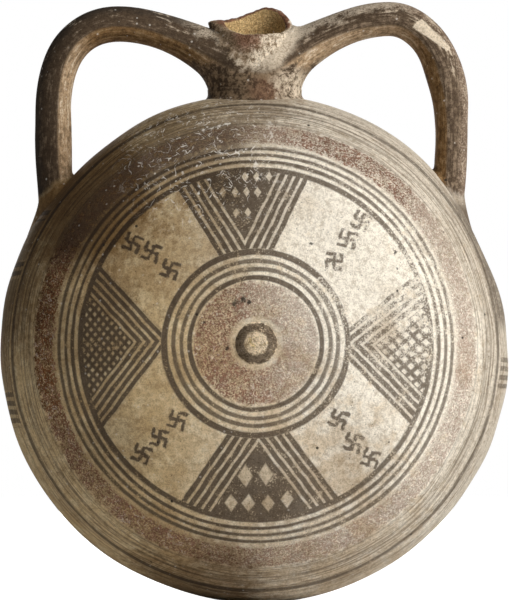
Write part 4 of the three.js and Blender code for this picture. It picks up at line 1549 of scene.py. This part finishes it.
def wad_mesh(name, handle, own):
    """A thin lens of clay over the corner, pressed into the shoulder and the strap at its edge."""

    def host(points):
        return smooth_least(body_distance(points), own(points), WAD_BLEND)

    outer_face = BODY_RADIUS * math.sin(handle["root"]) + handle["thickness"] / 2
    corner = math.asin(outer_face / BODY_RADIUS)
    turns = np.linspace(0, math.tau, WAD_TURNS, endpoint=False)
    rings, under = [], []
    for share in np.linspace(1, WAD_LAST_RING, WAD_RINGS):
        away = share * WAD_LENGTH / 2 * np.cos(turns)
        down_body, up_strap = corner + np.maximum(away, 0) / BODY_RADIUS, np.maximum(-away, 0)
        x = handle["side"] * BODY_RADIUS * np.sin(down_body)
        z = CENTRE_HEIGHT + BODY_RADIUS * np.cos(down_body) + up_strap
        spot = np.stack([x, share * WAD_WIDTH / 2 * np.sin(turns), z], axis=1)
        lift = (WAD_THICKNESS + LUTE_SINK) * (1 - share**2) ** 2 - LUTE_SINK
        skin = drawn_to(host, spot, 0)
        rings.append(skin + lift * unit(slope_of(host, skin)))
        under.append(drawn_to(host, spot, -UNDER))
    middles = under[-1].mean(axis=0), rings[-1].mean(axis=0)
    return ring_mesh(name, np.array([*under[::-1], *rings]), *middles)


for handle_name, handle in HANDLES.items():
    wad_name = handle_name.replace("handle", "root_wad")
    wad = wad_mesh(wad_name, handle, strap_distance(handle_rails[handle_name]))
    finish_piece("smoothed_" + wad_name, wad, dark_paint, wad_name, 80)


# Front boss: a clay button pressed onto the middle of the front, its stem in a socket. Its flank is painted
# dark and its top is worn pale.
BOSS_RADIUS = 9.8 * MM
BOSS_HEIGHT = 3 * MM
BOSS_SKIRT = 1.5 * MM
BOSS_FLATNESS = 2.6
BOSS_STEEPNESS = 0.8
BOSS_TURNS = 96
BOSS_RINGS = 40
BOSS_LAST_RING = 0.03


def boss_mesh():
    """A low dome on the pole of the front, its skirt pressed just under the slip."""
    turns = np.linspace(0, math.tau, BOSS_TURNS, endpoint=False)
    rings, under = [], []
    before_face = np.full_like(turns, -BODY_HALF_DEPTH)
    for share in np.linspace(1, BOSS_LAST_RING, BOSS_RINGS):
        reach = share * (BOSS_RADIUS + BOSS_SKIRT)
        x, z = reach * np.sin(turns), CENTRE_HEIGHT + reach * np.cos(turns)
        spot = np.stack([x, before_face, z], axis=1)
        skin = drawn_to(body_distance, spot, 0)
        dome = np.clip(1 - (reach / BOSS_RADIUS) ** BOSS_FLATNESS, 0, 1) ** BOSS_STEEPNESS
        lift = (BOSS_HEIGHT + LUTE_SINK) * dome - LUTE_SINK
        rings.append(skin + lift * unit(slope_of(body_distance, skin)))
        under.append(drawn_to(body_distance, spot, -UNDER))
    middles = under[-1].mean(axis=0), rings[-1].mean(axis=0)
    return ring_mesh("boss", np.array([*under[::-1], *rings]), *middles)


BOSS_DARK_RING = (5.3, 9.3)
BOSS_OCHRE = (0.50, 0.36, 0.12)


def boss_paint_material():
    """A ragged dark ring on the flank of the boss, round a worn and yellowed top."""
    material, tree, shader = matt_material("boss_paint")
    place, age, slip = used(tree, on_flask), used(tree, aged), used(tree, cream_slip)
    colour = over(tree, rising(age["Mottle"], 0.5, 0.62) * 0.6, slip["Colour"], BOSS_OCHRE)
    rub = age["Grain"] * 0.6 + age["Mottle"] * 0.4
    ragged = place["Ring"] + (age["Patina"] - 0.5) * 4.0
    ring = within(ragged, *BOSS_DARK_RING) * rising(rub, 0.34, 0.46)
    colour = over(tree, ring * 0.9, colour, DARK_BROWN)
    feed(shader.inputs["Base Color"], with_dirt_and_shade(tree, colour, age, 0.8, slip["Stain And Shade"], age["Flecks"] * 0.3))
    roughen(tree, shader, age["Height"])
    return material


boss_paint = boss_paint_material()
finish_piece("pressed_boss", boss_mesh(), boss_paint, "front_boss", 80)


# Seam coil: a roll of bare clay, pressed flat with the fingers over the joint of the two bowls on the
# inside. It holds the butted rims together, and is open under the neck.
COIL_WIDTH = 14 * MM
COIL_THICKNESS = 4 * MM
COIL_CLEARANCE = 0.3 * MM
COIL_START = math.radians(14.4)
COIL_STATIONS = 240
COIL_SIDES = 20
COIL_KNOTS = 240


def bare_clay_material():
    """Unpainted clay, as it left the kiln."""
    material, tree, shader = matt_material("bare_clay")
    age = used(tree, aged)
    colour = over(tree, rising(age["Mottle"], 0.38, 0.64), BARE_CLAY, TAWNY)
    feed(shader.inputs["Base Color"], with_dirt_and_shade(tree, colour, age, 0.5, 0.0, 0.0))
    roughen(tree, shader, age["Height"])
    return material


bare_clay = bare_clay_material()


def coil_path():
    """The middle line of the coil, round the inside of the seam."""
    radius = BODY_RADIUS - BODY_WALL - COIL_THICKNESS / 2 - COIL_CLEARANCE
    data = bpy.data.curves.new("coil_path", "CURVE")
    data.dimensions = "3D"
    spline = data.splines.new("POLY")
    angles = np.linspace(COIL_START, math.tau - COIL_START, COIL_KNOTS)
    spline.points.add(len(angles) - 1)
    for knot, angle in zip(spline.points, angles):
        knot.co = (radius * math.sin(angle), 0, CENTRE_HEIGHT + radius * math.cos(angle), 1)
    path = bpy.data.objects.new("coil_path", data)
    bpy.context.scene.collection.objects.link(path)
    return path


coil_sizes = {
    "Thickness": COIL_THICKNESS,
    "Width": COIL_WIDTH,
    "Squareness": 2.0,
    "Ridge Shift": 0.0,
    "Root Spread": 0.0,
    "Root Pinch": 0.0,
    "Root Spread Length": 1.0,
    "End Spread": 0.0,
    "End Swell": 0.0,
    "End Spread Length": 1.0,
    "Overrun": 0.0,
    "Outward": 1.0,
    "Stations": COIL_STATIONS,
    "Sides": COIL_SIDES,
    "Material": bare_clay,
}
coil_rails = strap_rails("seam_coil", coil_path(), coil_sizes)
coil = ring_mesh("seam_coil", coil_rails, coil_rails[0].mean(axis=0), coil_rails[-1].mean(axis=0))
finish_piece("pressed_seam_coil", coil, bare_clay, "seam_coil", 80)


# Studio: a plain pale floor in a white room, a broad soft lamp from the right, a weak fill from the left, and
# a lamp behind. The floor and the room are white where they are looked at, and give the flask little light.
FLOOR_HALF = 4.0
PAPER_GLOW = 0.9
ROOM_LIGHT = 0.13
LAMP_TARGET = (0, 0, 0.14)
LAMPS = {
    "key_lamp": {"spot": (1.23, -0.93, 0.86), "size": 0.9, "power": 28, "colour": (1.0, 0.985, 0.965)},
    "fill_lamp": {"spot": (-1.6, -1.5, 0.9), "size": 1.2, "power": 2, "colour": (1.0, 0.97, 0.93)},
    "back_lamp": {"spot": (-0.5, 2.4, 0.7), "size": 1.2, "power": 24, "colour": (1.0, 0.985, 0.965)},
}

floor_corners = [(-FLOOR_HALF, -FLOOR_HALF, 0), (FLOOR_HALF, -FLOOR_HALF, 0)]
floor_corners += [(FLOOR_HALF, FLOOR_HALF, 0), (-FLOOR_HALF, FLOOR_HALF, 0)]
floor_mesh = bpy.data.meshes.new("studio_floor")
floor_mesh.from_pydata(floor_corners, [], [(0, 1, 2, 3)])
floor = bpy.data.objects.new("studio_floor", floor_mesh)
bpy.context.scene.collection.objects.link(floor)
floor_paper = bpy.data.materials.new("floor_paper")
floor_paper.use_nodes = True
paper = floor_paper.node_tree
paper_shader = paper.nodes["Principled BSDF"]
paper_shader.inputs["Base Color"].default_value = (0.8, 0.8, 0.8, 1)
paper_shader.inputs["Roughness"].default_value = 0.9
paper_seen = paper.nodes.new("ShaderNodeLightPath")
paper_looked_at = Wire(paper_seen.outputs["Is Camera Ray"])
feed(paper_shader.inputs["Emission Strength"], paper_looked_at * PAPER_GLOW)
paper_shader.inputs["Emission Color"].default_value = (1, 1, 1, 1)
floor.data.materials.append(floor_paper)


def stand(thing, spot, target):
    """Puts a lamp or the camera at a spot, aimed at a target."""
    aim = np.array(target) - np.array(spot)
    yaw = math.atan2(aim[0], aim[1])
    pitch = math.atan2(aim[2], math.hypot(aim[0], aim[1]))
    thing.location = spot
    thing.rotation_euler = (math.pi / 2 + pitch, 0, -yaw)
    bpy.context.scene.collection.objects.link(thing)


for lamp_name, lamp in LAMPS.items():
    light = bpy.data.lights.new(lamp_name, "AREA")
    light.shape = "DISK"
    light.size = lamp["size"]
    light.energy = lamp["power"]
    light.color = lamp["colour"]
    stand(bpy.data.objects.new(lamp_name, light), lamp["spot"], LAMP_TARGET)

world = bpy.data.worlds.new("studio")
world.use_nodes = True
room = world.node_tree.nodes["Background"]
room.inputs["Color"].default_value = (1, 1, 1, 1)
room_seen = world.node_tree.nodes.new("ShaderNodeLightPath")
room_looked_at = Wire(room_seen.outputs["Is Camera Ray"])
feed(room.inputs["Strength"], room_looked_at * (1 - ROOM_LIGHT) + ROOM_LIGHT)
bpy.context.scene.world = world

# Camera: in front and a little below the middle of the painted face, as in the photograph. What it frames
# is measured where it aims.
CAMERA_SPOT = (-0.010, -1.6, 0.067)
CAMERA_TARGET = (-0.0002, 0, 0.1399)
PHOTO_HEIGHT_PIXELS = 600
PIXEL = 0.46706 * MM
FRAME_HEIGHT = PHOTO_HEIGHT_PIXELS * PIXEL
SENSOR = 36

camera_data = bpy.data.cameras.new("camera")
camera_data.sensor_fit = "VERTICAL"
camera_data.sensor_height = SENSOR
view_line = np.array(CAMERA_TARGET) - np.array(CAMERA_SPOT)
camera_data.lens = SENSOR * float(np.linalg.norm(view_line)) / FRAME_HEIGHT
camera_data.clip_start = 0.01
camera = bpy.data.objects.new("camera", camera_data)
stand(camera, CAMERA_SPOT, CAMERA_TARGET)
bpy.context.scene.camera = camera
bpy.context.scene.view_settings.view_transform = "Standard"
